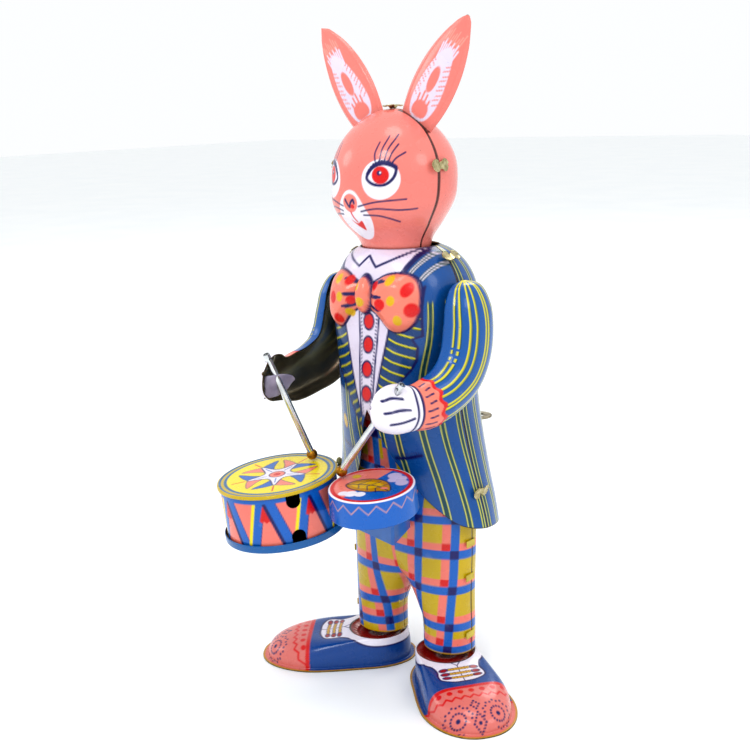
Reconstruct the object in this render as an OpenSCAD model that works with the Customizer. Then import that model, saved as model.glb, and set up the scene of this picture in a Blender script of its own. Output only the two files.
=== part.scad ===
// Wind-up tin rabbit that beats two drums. Lithographed pressed-tin half shells around a
// spring motor. Millimetres, +Z up, the rabbit faces -Y, origin on the floor under its middle.

/* [Tin] */
// Thickness of the pressed tin
tin = 0.45; // [0.35:0.05:0.6]
// Gap between two half shells at a seam
seam_gap = 0.16; // [0.1:0.02:0.3]

/* [Head] */
// Half width of the head
head_r = 23; // [22:0.1:23.5]
// Height of the middle of the head
head_z = 194; // [192:0.5:196]
// Forward tilt of the head on its neck
head_tilt = 0; // [-3:1:3]
// Length of an ear
ear_l = 44; // [38:1:46]
// Lean of an ear away from upright
ear_lean = 33; // [28:1:36]

/* [Body] */
// Y of the side seams of the coat, and of the shoulder axle
seam_y = 14.2; // [13:0.2:15]
// Height of the collar's top edge
collar_z = 171; // [170:0.5:172]
// Y of the neck post
neck_y = 10.5; // [10:0.5:11.5]
// Height of the shoulder axle
shoulder_z = 150; // [149:0.5:151]

/* [Legs] */
// X of each leg and ankle
leg_x = 16.8; // [16:0.1:17.5]
// Y of the trouser seams and the ankles
leg_y = 16; // [15:0.5:18]
// Height of the crotch
crotch_z = 34.5; // [34:0.5:38]
// Height of the trouser hems
hem_z = 12.5; // [12.6:0.1:14]

/* [Shoes] */
// X of each ankle
shoe_x = 17.2; // [17:0.1:19]
// Y of each ankle
shoe_y = 12.4; // [11:0.1:14]
// Angle by which each foot turns outwards
splay = 54; // [48:1:58]
// Ankle to toe tip
shoe_toe = 48.6; // [46:0.2:50]
// Ankle to back of the heel
shoe_heel = 15.4; // [15:0.2:17]

/* [Drums] */
// Radius of the big drum's head
big_r = 22.8; // [21:0.1:23]
// Radius of the small drum's head
small_r = 15.8; // [14.5:0.1:16]
// Diameter of a drumstick
stick_d = 2.6; // [2.2:0.1:3]
// Diameter of a drumstick's ball
ball_d = 4.2; // [3.8:0.1:4.4]

/* [Motor] */
// Teeth of the great wheel
great_teeth = 40; // [36:1:42]
// Teeth of every pinion
pinion_teeth = 12; // [12:1:13]
// Teeth of the second wheel
second_teeth = 36; // [34:1:38]

/* [Hidden] */
$fn = 48;

// ---- Curves and pressed sheets ----
function unit(v) = v / norm(v);
function mix(a, b, t) = a + (b - a) * t;
function smooth(t) = let (c = min(1, max(0, t))) c * c * (3 - 2 * c);
function rounded(c, power) = sign(c) * pow(abs(c), 2 / power);

// Slope of column k of a table at row i
function slope(rows, i, k) =
    let (a = rows[max(0, i - 1)], b = rows[min(len(rows) - 1, i + 1)]) (b[k] - a[k]) / (b[0] - a[0]);
// Column k of a table at position t, on a smooth curve through its rows
function along(rows, t, k = 1, i = 0) =
    i < len(rows) - 2 && t > rows[i + 1][0] ? along(rows, t, k, i + 1) :
    let (h = rows[i + 1][0] - rows[i][0], s = min(1, max(0, (t - rows[i][0]) / h)))
    rows[i][k] * (1 + 2 * s) * (1 - s) * (1 - s) + rows[i + 1][k] * s * s * (3 - 2 * s)
    + h * (slope(rows, i, k) * s * (1 - s) * (1 - s) - slope(rows, i + 1, k) * s * s * (1 - s));

// Outward normal of a grid of points, whose columns close on themselves if wrap is set
function grid_normal(g, i, j, wrap) =
    let (n = len(g), m = len(g[0]),
        left = wrap ? (j + m - 1) % m : max(0, j - 1),
        right = wrap ? (j + 1) % m : min(m - 1, j + 1),
        down = g[max(0, i - 1)][j], up = g[min(n - 1, i + 1)][j])
    unit(cross(g[i][right] - g[i][left], up - down));

// A sheet of tin: the grid is its outer face, and the inner face lies one thickness inside
module pressing(g, wrap = false, thick = tin) {
    n = len(g);
    m = len(g[0]);
    size = n * m;
    outer = [for (row = g) each row];
    inner = [for (i = [0:n - 1], j = [0:m - 1]) g[i][j] - thick * grid_normal(g, i, j, wrap)];
    last = wrap ? m - 1 : m - 2;
    skins = [for (i = [0:n - 2], j = [0:last])
        let (a = i * m + j, b = i * m + (j + 1) % m, c = b + m, d = a + m)
        each [[a, c, b], [a, d, c], [a + size, b + size, c + size], [a + size, c + size, d + size]]];
    ends = [for (j = [0:last], i = [0, n - 1])
        let (a = i * m + j, b = i * m + (j + 1) % m)
        each i == 0 ? [[a, b, b + size], [a, b + size, a + size]]
                    : [[a, b + size, b], [a, a + size, b + size]]];
    sides = wrap ? [] : [for (i = [0:n - 2], j = [0, m - 1])
        let (a = i * m + j, b = a + m)
        each j == 0 ? [[a, b + size, b], [a, a + size, b + size]]
                    : [[a, b, b + size], [a, b + size, a + size]]];
    polyhedron(concat(outer, inner), concat(skins, ends, sides), convexity = 6);
}

// A pair of bent tin tabs over a seam: lies in the XY plane, slit along X
module clip(w = 2.2, l = 2.6) {
    for (s = [-1, 1])
        translate([0, s * 0.25, 0]) rotate([s * 14, 0, 0]) linear_extrude(0.4) {
            translate([-w / 2, s > 0 ? 0 : -l, 0]) square([w, l]);
            translate([0, s * l]) circle(w / 2 + 0.35);
        }
}

// ---- Head: two half shells, two ears, three clips ----
// Radius of the head over its height from the middle, and how far back from the axis it sits
HEAD = [[-25.5, 11.8], [-23.5, 12.3], [-20, 13.6], [-14, 18], [-7, 21.7], [0, 22.4],
    [7, 22], [13, 19.8], [19, 15.4], [23.5, 9.6], [25.8, 4.2], [26.3, 0.5]];
// Angle in plan by which the seam lies in front of the widest line
head_seam = 9;
neck_z = head_z - 24.5;

module head_place() translate([0, neck_y, neck_z]) rotate([head_tilt, 0, 0])
    translate([0, 0, head_z - neck_z]) children();
// Where the head's surface is, at an angle in plan and a height
function head_point(a, z) = let (r = along(HEAD, z) * head_r / 22.4) [r * cos(a), r * sin(a), z];
function head_rows() = [for (i = [0:15]) -25.5 + 51.8 * (1 - cos(i * 12)) / 2];
module head_half(from, to, steps) {
    pressing([for (z = head_rows()) [for (j = [0:steps]) head_point(mix(from, to, j / steps), z)]]);
}
module head_front() color([0.93, 0.55, 0.5]) head_place()
    translate([0, -seam_gap / 2, 0]) head_half(head_seam - 180, -head_seam, 16);
module head_back() color([0.93, 0.55, 0.5]) head_place()
    translate([0, seam_gap / 2, 0]) head_half(-head_seam, head_seam + 180, 16);

ear_forward = -2;
// Half width of an ear along its length
EAR = [[0, 6.9], [0.24, 8.9], [0.42, 9.2], [0.6, 8.3], [0.78, 6], [0.92, 3.2], [1, 0.5]];
ear_base = [9.2, 9.2, 213.3];
module ear(side) {
    rows = [for (i = [0:11]) sin(i * 90 / 11)];
    translate([side * ear_base[0], ear_base[1], ear_base[2]])
        rotate([ear_forward, side * ear_lean, 0])
            pressing([for (t = rows) [for (j = [0:8])
                let (u = j / 4 - 1, w = along(EAR, t))
                [u * w, -2.6 * (1 - u * u) * sin(t * 150 + 15) * 0.5 + 1.1 * u * u * u * u, t * ear_l]]]);
}
module left_ear() color([0.93, 0.55, 0.5]) ear(1);
module right_ear() color([0.93, 0.55, 0.5]) ear(-1);
module head_clips() color([0.62, 0.58, 0.44]) head_place() {
    for (side = [-1, 1]) let (p = head_point(-head_seam, 7.5))
        translate([side * (p[0] + 0.2), p[1], 7.5]) rotate([0, side * 80, 0]) clip();
    translate([0, 0, 26.45]) clip();
}

// ---- Neck: a post on a bridge inside the coat, a socket in the head ----
post_r = 1.5;
socket_r = 1.56;
bridge_z = 157;
socket_z = 165.5;
post_top = 186;
module neck_socket() color([0.55, 0.55, 0.55]) translate([0, neck_y, socket_z]) difference() {
    union() {
        cylinder(r = 2.6, h = 18);
        translate([0, 0, 4.2]) cylinder(r = 10.2, h = 0.8);
    }
    translate([0, 0, -1]) cylinder(r = socket_r, h = 20);
}
module neck_post() color([0.75, 0.75, 0.75]) translate([0, neck_y, bridge_z + 1.2])
    cylinder(r = post_r, h = post_top - bridge_z - 1.2);
module neck_collar() color([0.75, 0.75, 0.75]) translate([0, neck_y, socket_z - 2.2]) difference() {
    cylinder(r = 2.8, h = 2);
    translate([0, 0, -1]) cylinder(r = post_r, h = 4);
}
module neck_bridge() color([0.6, 0.6, 0.6]) translate([-23.1, 4, bridge_z]) cube([46.2, 15, 1.2]);

// ---- Coat: front and back half shells ----
// Height, half width, depth in front of and behind the side seam, squareness
COAT = [[60, 37.8, 14, 29, 2], [72, 35.3, 14.6, 29.5, 2], [84, 31.8, 17, 30, 2],
    [98, 28, 21.4, 29.6, 2.1], [112, 25.2, 24.2, 29, 2.2], [126, 24.6, 24.4, 28, 2.3],
    [139, 26, 23.6, 27.4, 2.4], [150, 26, 23.3, 26.8, 2.5], [158, 24.8, 22.6, 25.4, 2.4],
    [164, 22.2, 21.5, 22, 2.3], [168.5, 18.6, 19.6, 16.8, 2.2], [171, 14.8, 17.4, 11.4, 2]];
// Hem height of the front by angle from the middle front, and of the back from the side
FRONT_HEM = [[0, 112], [6, 105], [16, 93], [32, 80], [48, 73.5], [60, 71.5], [90, 70.5]];
BACK_HEM = [[0, 70.5], [30, 67], [60, 64], [90, 63]];
function coat_xy(a, z) = let (f = along(COAT, z, a < 0 ? 2 : 3), n = along(COAT, z, 4))
    [along(COAT, z, 1) * rounded(cos(a), n), f * rounded(sin(a), n) + seam_y, z];
// Height by which the bow tie stands out of the coat's front
bow_z = 153;
function wing(x, z) = let (u = abs(x), c = (u - 3) / 17, h = mix(5.2, 10.5, c) - 5 * max(0, c - 0.75))
    u < 3 || u > 20.5 ? 0 : max(0, 1 - pow((z - bow_z) / h, 2)) * smooth((20.8 - u) / 4);
function knot(x, z) = max(0, 1 - pow(x / 3.6, 2)) * max(0, 1 - pow((z - bow_z) / 8.5, 4));
function bow(x, z) = 2.4 * max(wing(x, z), 1.25 * knot(x, z));
function coat_front_point(a, z) =
    let (p = coat_xy(a, z), out = bow(p[0], z)) [p[0], p[1] - out, z];
front_steps = 26;
module coat_front_shell() pressing([for (i = [0:26]) [for (j = [0:front_steps])
    let (a = -180 + 180 * j / front_steps, low = along(FRONT_HEM, abs(a + 90)))
    coat_front_point(a, mix(low, collar_z, i / 26))]]);
module coat_back_shell() pressing([for (i = [0:18]) [for (j = [0:18])
    let (a = 180 * j / 18, low = along(BACK_HEM, 90 - abs(a - 90)))
    coat_xy(a, mix(low, collar_z, i / 18))]]);
hub_hole_r = 3;
module hub_holes() translate([-40, seam_y, shoulder_z]) rotate([0, 90, 0])
    cylinder(r = hub_hole_r, h = 80, $fn = 24);
module coat_front() color([0.16, 0.42, 0.72]) resize([0, 0, 0]) difference() {
    translate([0, -seam_gap / 2, 0]) coat_front_shell();
    hub_holes();
}
key_z = 97;
module coat_back() color([0.16, 0.42, 0.72]) resize([0, 0, 0]) difference() {
    translate([0, seam_gap / 2, 0]) coat_back_shell();
    hub_holes();
    translate([0, 30, key_z]) rotate([-90, 0, 0]) cylinder(r = 4, h = 20, $fn = 24);
}
module coat_clips() color([0.62, 0.58, 0.44]) for (side = [-1, 1]) {
    translate([side * 21.1, seam_y, 166.4]) rotate([0, side * 38, 0]) clip();
    translate([side * (along(COAT, 80, 1) + 0.3), seam_y, 80]) rotate([0, side * 107, 0]) clip();
}

// ---- Trousers: front and back half shells ----
// Height, X of a leg's middle, half width about it, depth of the front and of the back
TROUSERS = [[10, 16.8, 10.4, 9.8, 8], [24, 16.8, 10.6, 10, 8.5], [crotch_z - 5, 15, 12.4, 10.6, 9],
    [crotch_z, 13.6, 13.8, 11, 9.6], [46, 9, 18.8, 11.8, 11], [58, 3, 25.2, 12.8, 13],
    [72, 0.6, 27.2, 14.4, 15], [90, 0.2, 24, 17, 17], [114, 0.2, 21, 19.6, 18]];
front_waist_z = 113.5;
back_waist_z = 79;
// Each side is drawn a little past the middle and cut there, so that the two join in one face
past_middle = 0.6;
function trouser_point(u, z, k) =
    let (c = along(TROUSERS, z, 1), w = along(TROUSERS, z, 2),
        start = z <= crotch_z ? 0 : acos(min(1, (c + past_middle) / w)), a = mix(start, 180, u))
    [c - w * cos(a), along(TROUSERS, z, k) * pow(sin(a), 0.9), z];
module trouser_side(k, sgn, top) {
    leg = [for (i = [0:5]) mix(hem_z, crotch_z, i / 5)];
    hips = [for (i = [1:9]) mix(crotch_z, top, pow(i / 9, 1.4))];
    grid = [for (z = concat(leg, hips)) [for (j = [0:12])
        let (p = trouser_point(j / 12, z, k)) [p[0], sgn * p[1], z]]];
    intersection() {
        pressing(sgn < 0 ? grid : [for (row = grid) [for (j = [12:-1:0]) row[j]]]);
        translate([0, -50, 0]) cube([50, 100, 200]);
    }
}
module trouser_half(k, sgn, top) resize([0, 0, 0]) translate([0, leg_y + sgn * seam_gap / 2, 0]) union() {
    trouser_side(k, sgn, top);
    mirror([1, 0, 0]) trouser_side(k, sgn, top);
}
module trousers_front() color([0.82, 0.78, 0.15]) trouser_half(3, -1, front_waist_z);
module trousers_back() color([0.82, 0.78, 0.15]) trouser_half(4, 1, back_waist_z);
module trouser_clips() color([0.85, 0.8, 0.2]) for (side = [-1, 1]) {
    for (z = [20, 44, 58]) let (x = along(TROUSERS, z, 1) + along(TROUSERS, z, 2) + 0.25)
        translate([side * x, leg_y - 1.5, z]) rotate([0, side * 90, 0]) linear_extrude(0.4)
            square([2.6, 5], center = true);
    translate([side * (leg_x - 10.3), leg_y - 1.2, 26]) rotate([0, -side * 90, 0])
        linear_extrude(0.4) square([2.6, 4], center = true);
}

// ---- Shoes: hollow pressings with a floor flange and a dished ankle seat ----
flange_w = 2.2;
flange_h = tin;
rim_r = 11.6;
rim_h = 11.5;
seat_r = 7.8;
// Half width of the shoe over its length, without the flange
SHOE_WIDTH = [[-14, 15], [-4, 15], [8, 14.4], [18, 15.4], [28, 17], [38, 17.6], [48, 17.4]];
function shoe_edge(a, grow) =
    let (half = (shoe_toe + shoe_heel) / 2 - flange_w, u = (shoe_toe - shoe_heel) / 2 + half * cos(a),
        v = along(SHOE_WIDTH, u) * rounded(sin(a), 2.35), d = unit([cos(a) * 0.75, sin(a)]))
    [u + grow * d[0], v + grow * d[1]];
// A point of the upper: t goes from the flange's outer edge, over the crest, to the ankle's floor
function shoe_point(a, t) =
    let (e = shoe_edge(a, 0), far = norm(e), d = e / far, toe = pow(max(0, d[0]), 3),
        crest = rim_r + 0.4 + 10.5 * toe, top = rim_h - 1.5 * toe, full = mix(1, 0.75, toe))
    t < 0 ? let (o = shoe_edge(a, -t * flange_w)) [o[0], o[1], flange_h]
    : t <= 1 ? let (q = 90 * t, r = mix(crest, far, pow(cos(q), full)))
        [d[0] * r, d[1] * r, flange_h + (top - flange_h) * pow(sin(q), (1 + full) / 2)]
    : t <= 2 ? let (r = mix(crest, rim_r, t - 1))
        [d[0] * r, d[1] * r, mix(top, rim_h, smooth(t - 1))]
    : let (r = mix(rim_r, seat_r, t - 2)) [d[0] * r, d[1] * r, rim_h - 2 * pow(t - 2, 0.6)];
SHOE_STEPS = [-1, -0.2, 0, 0.12, 0.28, 0.45, 0.62, 0.8, 1, 1.5, 2, 2.25, 3];
module shoe(side) translate([side * shoe_x, shoe_y, 0]) rotate([0, 0, -90 + side * splay])
    pressing([for (t = SHOE_STEPS) [for (j = [0:35]) shoe_point(j * 10, t)]], wrap = true);
module left_shoe() color([0.2, 0.45, 0.75]) shoe(1);
module right_shoe() color([0.2, 0.45, 0.75]) shoe(-1);
module ankle_tabs() color([0.62, 0.58, 0.44]) for (side = [-1, 1], e = [-1, 1])
    translate([side * leg_x + e * (along(TROUSERS, hem_z, 2) - tin - 0.1) - 0.2, leg_y - 1.8, rim_h - 2.2])
        cube([0.4, 3, 4]);

// ---- Drums and their bracket ----
big_at = [-25.5, -33.2, 88.7];
big_slope = [0.061, 0.091];
small_at = [13, -24.2, 89.4];
small_slope = [0.008, 0.105];
big_h = 21.4;
small_h = 10;
notch_turn = -32;
module at_drum(at, slopes) translate(at) rotate([atan(slopes[1]), -atan(slopes[0]), 0]) children();
module big_drum_shell() color([0.9, 0.5, 0.48]) at_drum(big_at, big_slope) difference() {
    translate([0, 0, -big_h]) cylinder(r = big_r - 0.9, h = big_h - 0.5);
    translate([0, 0, -big_h - 1]) cylinder(r = big_r - 0.9 - tin, h = big_h + 2);
    for (z = [-3.4, 4.4 - big_h]) rotate([0, 0, notch_turn]) translate([0, 0, z]) rotate([0, 90, 0])
        cylinder(r = 2.6, h = big_r + 1);
}
module big_drum_head() color([0.93, 0.88, 0.1]) at_drum(big_at, big_slope) rotate_extrude()
    polygon([[0, -0.45], [big_r - 0.85, -0.45], [big_r - 0.85, -2.4], [big_r - 0.35, -2.4],
        [big_r, -2.1], [big_r, -0.35], [big_r - 0.4, 0.12], [big_r - 1.2, 0.12], [big_r - 1.6, 0],
        [0, 0]]);
module big_drum_base() color([0.2, 0.5, 0.85]) at_drum(big_at, big_slope)
    translate([0, 0, -big_h - 0.5]) rotate_extrude()
        polygon([[0, 0], [big_r - 0.3, 0], [big_r + 0.2, 0.5], [big_r + 0.2, 3], [big_r - 0.25, 3],
            [big_r - 0.25, 0.5], [0, 0.5]]);
module small_drum_cup() color([0.2, 0.5, 0.85]) at_drum(small_at, small_slope) rotate_extrude()
    polygon([[0, -tin], [small_r - 0.5, -tin], [small_r, -small_h], [small_r + tin, -small_h],
        [small_r, -0.5], [small_r - 0.5, 0], [0, 0]]);
module small_drum_base() color([0.5, 0.5, 0.5]) at_drum(small_at, small_slope)
    translate([0, 0, -small_h + 0.4]) cylinder(r = small_r - 0.5, h = 0.5);
shelf_t = 0.9;
BRACKET_FRONT = [[15, -15.6], [-14, -8.5]];
BRACKET_SIDES = [[[15, -15.6], [8.9, 1.6]], [[-6, -10.4], [-6, 1.2]]];
bracket_z = [64, 79.6];
// Upright wall of the bracket between two points in plan
module bracket_wall(ends) let (d = ends[1] - ends[0]) translate([ends[0][0], ends[0][1], bracket_z[0]])
    rotate([0, 0, atan2(d[1], d[0])]) translate([-shelf_t / 2, -shelf_t / 2, 0])
        cube([norm(d) + shelf_t, shelf_t, bracket_z[1] - bracket_z[0]]);
module drum_bracket() color([0.2, 0.5, 0.85]) union() {
    at_drum(small_at, small_slope) translate([-5, -2, -small_h - shelf_t]) cube([12, 16, shelf_t]);
    at_drum(big_at, big_slope) translate([2, -4, -big_h - 0.5 - shelf_t]) cube([10, 28.5, shelf_t]);
    bracket_wall(BRACKET_FRONT);
    for (ends = BRACKET_SIDES) bracket_wall(ends);
}
module drum_rivets() color([0.7, 0.7, 0.65]) {
    at_drum(small_at, small_slope) translate([3, 6, -small_h - shelf_t - 0.5]) cylinder(r = 1.3, h = 0.5);
    at_drum(big_at, big_slope) translate([7, 5, -big_h - 0.5 - shelf_t - 0.5]) cylinder(r = 1.3, h = 0.5);
}

// ---- Arms: open-backed pressings on hubs that turn on the shoulder axle ----
axle_r = 1.2;
hub_bore_r = 1.26;
hub_r = 2.1;
left_raise = 0;
right_raise = 2;
// The right forearm is bent up a little more, and its hand held further out
right_bend = 7;
right_out = 3;
elbow = [9.8, 133.6];
lever_l = 27;
module along_x(x, r, h) translate([x, seam_y, shoulder_z]) rotate([0, 90, 0]) cylinder(r = r, h = h);
module shoulder_axle() color([0.75, 0.75, 0.75]) along_x(-34.4, axle_r, 68.8);
module axle_hanger() color([0.6, 0.6, 0.6]) difference() {
    translate([-1.6, seam_y - 3, shoulder_z - 3]) cube([3.2, 6, bridge_z - shoulder_z + 3]);
    along_x(-5, axle_r, 10);
}
module axle_washers() color([0.75, 0.75, 0.75]) for (x = [-34.1, 33.5]) difference() {
    along_x(x, 2.6, 0.6);
    along_x(x - 1, axle_r, 3);
}
// Position along the arm: Y, Z, half width, X of the open edge, depth outwards from it
ARM = [[0, 12.6, 159.4, 0.6, 28.2, 0.6], [1, 12.6, 157.4, 7.6, 28.2, 5], [2, 12.6, 151.2, 11.2, 28.2, 8.4],
    [3, 12.2, 143, 12.3, 28.4, 9.8], [4, 9.8, 133.6, 12.3, 28.6, 10.2], [5, 4.4, 126, 11.2, 28.6, 10.2],
    [6, -3.4, 121, 9.8, 28.2, 9.4], [7, -11, 118.4, 9.4, 27, 8.2], [8, -17.6, 118, 8.2, 25.4, 7],
    [9, -23, 118.8, 8.9, 23.8, 6.8], [10, -28, 119.2, 7.8, 22.4, 6.2], [11, -31.4, 119.2, 4.8, 21.4, 3.8],
    [12, -33, 119.2, 0.6, 21, 0.6]];
function arm_centre(s, bend = 0, out = 0) =
    let (p = [along(ARM, s, 1), along(ARM, s, 2)] - elbow, a = bend * smooth((s - 3.4) / 2.4))
    [along(ARM, s, 4) + out * smooth((s - 4) / 5),
        elbow[0] + p[0] * cos(a) + p[1] * sin(a), elbow[1] + p[1] * cos(a) - p[0] * sin(a)];
function arm_side(s, bend) = let (d = unit(arm_centre(s + 0.05, bend) - arm_centre(s - 0.05, bend)))
    unit([0, -d[2], d[1]]);
function arm_point(s, a, bend, out) = arm_centre(s, bend, out) + arm_side(s, bend) * along(ARM, s, 3) * cos(a)
    + [along(ARM, s, 5) * pow(sin(a), 0.8), 0, 0];
module raised(angle, pivot = [seam_y, shoulder_z]) translate([0, pivot[0], pivot[1]])
    rotate([-angle, 0, 0]) translate([0, -pivot[0], -pivot[1]]) children();
module arm_shell(angle, bend = 0, out = 0) raised(angle) pressing([for (i = [0:26]) let (s = 0.02 + 11.96 * i / 26)
    [for (j = [0:11]) arm_point(s, 180 * j / 11, bend, out)]]);
// Stick of the arm: its ball and its top end
LEFT_STICK = [[-1.1, -24.2, 91.9], [27.4, -23, 128]];
RIGHT_STICK = [[-22.3, -17.2, 92.9], [-25.2, -35.8, 135.1]];
module along_stick(ends) let (d = ends[1] - ends[0])
    translate(ends[0]) rotate([0, acos(d[2] / norm(d)), atan2(d[1], d[0])]) children();
function stick_l(ends) = norm(ends[1] - ends[0]);
module stick_hole(ends) along_stick(ends) translate([0, 0, 3]) cylinder(d = stick_d + 0.1, h = 60, $fn = 20);
module left_arm() color([0.16, 0.42, 0.72]) resize([0, 0, 0]) difference() {
    arm_shell(left_raise);
    stick_hole(LEFT_STICK);
}
module right_arm() color([0.16, 0.42, 0.72]) resize([0, 0, 0]) difference() {
    mirror([1, 0, 0]) arm_shell(right_raise, right_bend, right_out);
    stick_hole(RIGHT_STICK);
}
// Finger tab, folded across the open side of a hand against its stick
module finger_flap(at, turn, ends) color([0.8, 0.78, 0.9]) difference() {
    translate(at) rotate([0, 0, turn]) rotate([90, 0, 90]) linear_extrude(0.5) intersection() {
        circle(6.2);
        translate([-7, -7]) square([14, 7.6]);
    }
    stick_hole(ends);
}
module left_finger_flap() finger_flap([22.8, -26, 121], 14, LEFT_STICK);
module right_finger_flap() finger_flap([-26, -30.2, 124.4], -14, RIGHT_STICK);
module arm_hub(side) color([0.6, 0.6, 0.6]) difference() {
    union() {
        along_x(side > 0 ? 2 : -33.3, hub_r, 31.3);
        along_x(side > 0 ? 29.4 : -30.2, 7.4, 0.8);
        along_x(side > 0 ? 4.6 : -5.8, 3.4, 1.2);
        translate([side > 0 ? 4.6 : -5.8, seam_y - 1.4, shoulder_z - lever_l]) cube([1.2, 2.8, lever_l]);
    }
    along_x(-40, hub_bore_r, 80);
}
module left_arm_hub() arm_hub(1);
module right_arm_hub() arm_hub(-1);
module drumstick(ends) color([0.75, 0.76, 0.78]) along_stick(ends) difference() {
    translate([0, 0, ball_d / 2 - 0.3]) cylinder(d = stick_d, h = stick_l(ends) - ball_d / 2 + 0.3);
    translate([0, 0, stick_l(ends) - 4]) cylinder(d = stick_d - 0.8, h = 5);
    translate([0, 3, stick_l(ends) - 2]) rotate([90, 0, 0]) cylinder(r = 0.5, h = 6);
}
module stick_ball(ends) color([0.66, 0.45, 0.12]) along_stick(ends) difference() {
    sphere(d = ball_d);
    translate([0, 0, ball_d / 2 - 0.3]) cylinder(d = stick_d, h = 5);
}
module left_drumstick() drumstick(LEFT_STICK);
module left_stick_ball() stick_ball(LEFT_STICK);
module right_drumstick() drumstick(RIGHT_STICK);
module right_stick_ball() stick_ball(RIGHT_STICK);

// ---- Spring motor: plates across Y, every arbor along Y ----
plate_y = [20, 33];
plate_t = 1;
plate_half_w = 15.5;
plate_z = [82, 135];
gear_m = 0.7;
fine_m = 0.6;
play = 0.12;
arbor_r = 1.2;
pivot_bore_r = 1.26;
wind_at = [0, key_z];
second_at = [0, key_z + gear_m * (great_teeth + pinion_teeth) / 2 + play];
escape_dx = 11;
escape_d = fine_m * (second_teeth + pinion_teeth) / 2 + play;
escape_at = [escape_dx, second_at[1] + sqrt(escape_d * escape_d - escape_dx * escape_dx)];
pallet_at = [escape_at[0] - 9.6, escape_at[1] + 4];
// Puts a shape drawn in the XY plane, as seen from the back, at a point of the plates
module on_arbor(at, y) translate([at[0], y, at[1]]) rotate([90, 0, 0]) mirror([0, 0, 1]) children();

// Involute of a circle of radius b at roll angle a, and a gear's outline
function involute(b, a) = [b * (cos(a) + a * PI / 180 * sin(a)), b * (sin(a) - a * PI / 180 * cos(a))];
function turn(p, a) = [p[0] * cos(a) - p[1] * sin(a), p[0] * sin(a) + p[1] * cos(a)];
pressure = 25;
function roll_at(b, r) = sqrt(max(0, pow(r / b, 2) - 1)) * 180 / PI;
function gear_outline(teeth, m, phase = 0) =
    let (rp = m * teeth / 2, b = rp * cos(pressure), ro = rp + 0.9 * m, rr = rp - 1.2 * m,
        polar = roll_at(b, rp), inv = polar - pressure, half = 90 / teeth * 0.93 + inv,
        from = max(0, roll_at(b, max(b, rr))), to = roll_at(b, ro))
    [for (i = [0:teeth - 1]) let (mid = phase + i * 360 / teeth) each concat(
        rr < b ? [turn([rr, 0], mid - half)] : [],
        [for (k = [0:4]) turn(involute(b, mix(from, to, k / 4)), mid - half)],
        [for (k = [4:-1:0]) let (p = involute(b, mix(from, to, k / 4))) turn([p[0], -p[1]], mid + half)],
        rr < b ? [turn([rr, 0], mid + half)] : [])];
module wheel(at, y, thick, teeth, m, bore, phase = 0) on_arbor(at, y) linear_extrude(thick) difference() {
    polygon(gear_outline(teeth, m, phase));
    circle(bore);
}
module plate(y, holes) difference() {
    translate([-plate_half_w, y, plate_z[0]]) cube([2 * plate_half_w, plate_t, plate_z[1] - plate_z[0]]);
    for (at = holes) translate([at[0], y - 1, at[1]]) rotate([-90, 0, 0]) cylinder(r = pivot_bore_r, h = 4);
}
ARBORS = [wind_at, second_at, escape_at, pallet_at];
module motor_front_plate() color([0.66, 0.66, 0.62]) plate(plate_y[0], ARBORS);
module motor_back_plate() color([0.66, 0.66, 0.62]) plate(plate_y[1], ARBORS);
module motor_pillars() color([0.7, 0.7, 0.68]) for (x = [-13, 13], z = [plate_z[0] + 2.5, 112])
    translate([x, plate_y[0] + plate_t, z]) rotate([-90, 0, 0])
        cylinder(r = 1.5, h = plate_y[1] - plate_y[0] - plate_t);
// Rod along Y with its pivots in both plates
module arbor(at, from, to) translate([at[0], from, at[1]]) rotate([-90, 0, 0]) cylinder(r = arbor_r, h = to - from);
key_y = 45;
key_end = 55.87;
module winding_arbor() color([0.7, 0.7, 0.7]) arbor(wind_at, plate_y[0] - 0.8, key_y + 6);
spring_turns = 5;
spring_from = 3.4;
spring_to = 12.4;
spring_y = 27.4;
module mainspring() color([0.35, 0.4, 0.5]) on_arbor(wind_at, spring_y) linear_extrude(4.6)
    polygon(concat(
        [for (a = [0:15:360 * spring_turns]) let (r = mix(spring_from, spring_to, a / 360 / spring_turns))
            [r * cos(a), r * sin(a)]],
        [for (a = [360 * spring_turns:-15:0]) let (r = mix(spring_from, spring_to, a / 360 / spring_turns) + 0.35)
            [r * cos(a), r * sin(a)]]));
module winding_key() color([0.7, 0.68, 0.6]) difference() {
    union() {
        translate([0, key_y, key_z]) rotate([-90, 0, 0]) cylinder(r = 2.4, h = 8.2);
        translate([0, 0, key_z - 0.6]) linear_extrude(1.2) {
            translate([0, key_end - 5.1]) square([12, 4], center = true);
            for (side = [-1, 1]) translate([side * 8.2, key_end - 5.1]) difference() {
                circle(5.1);
                circle(2.2);
            }
        }
    }
    translate([0, key_y - 1, key_z]) rotate([-90, 0, 0]) cylinder(r = arbor_r, h = 7);
}
great_y = 22;
ratchet_teeth = 12;
ratchet_r = 4.6;
module ratchet_wheel() color([0.72, 0.6, 0.3]) on_arbor(wind_at, great_y + 1.4) linear_extrude(1) difference() {
    polygon([for (i = [0:ratchet_teeth - 1]) let (a = i * 360 / ratchet_teeth)
        each [turn([ratchet_r, 0], a), turn([ratchet_r - 1, 0], a + 4)]]);
    circle(arbor_r);
}
click_at = [8, key_z];
module great_wheel() color([0.78, 0.66, 0.32]) difference() {
    wheel(wind_at, great_y, 1.1, great_teeth, gear_m, pivot_bore_r, 90);
    on_arbor(click_at, great_y - 1) cylinder(r = 0.6, h = 4);
}
module click_pin() color([0.7, 0.7, 0.7]) on_arbor(click_at, great_y) {
    cylinder(r = 0.6, h = 2.8);
}
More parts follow.
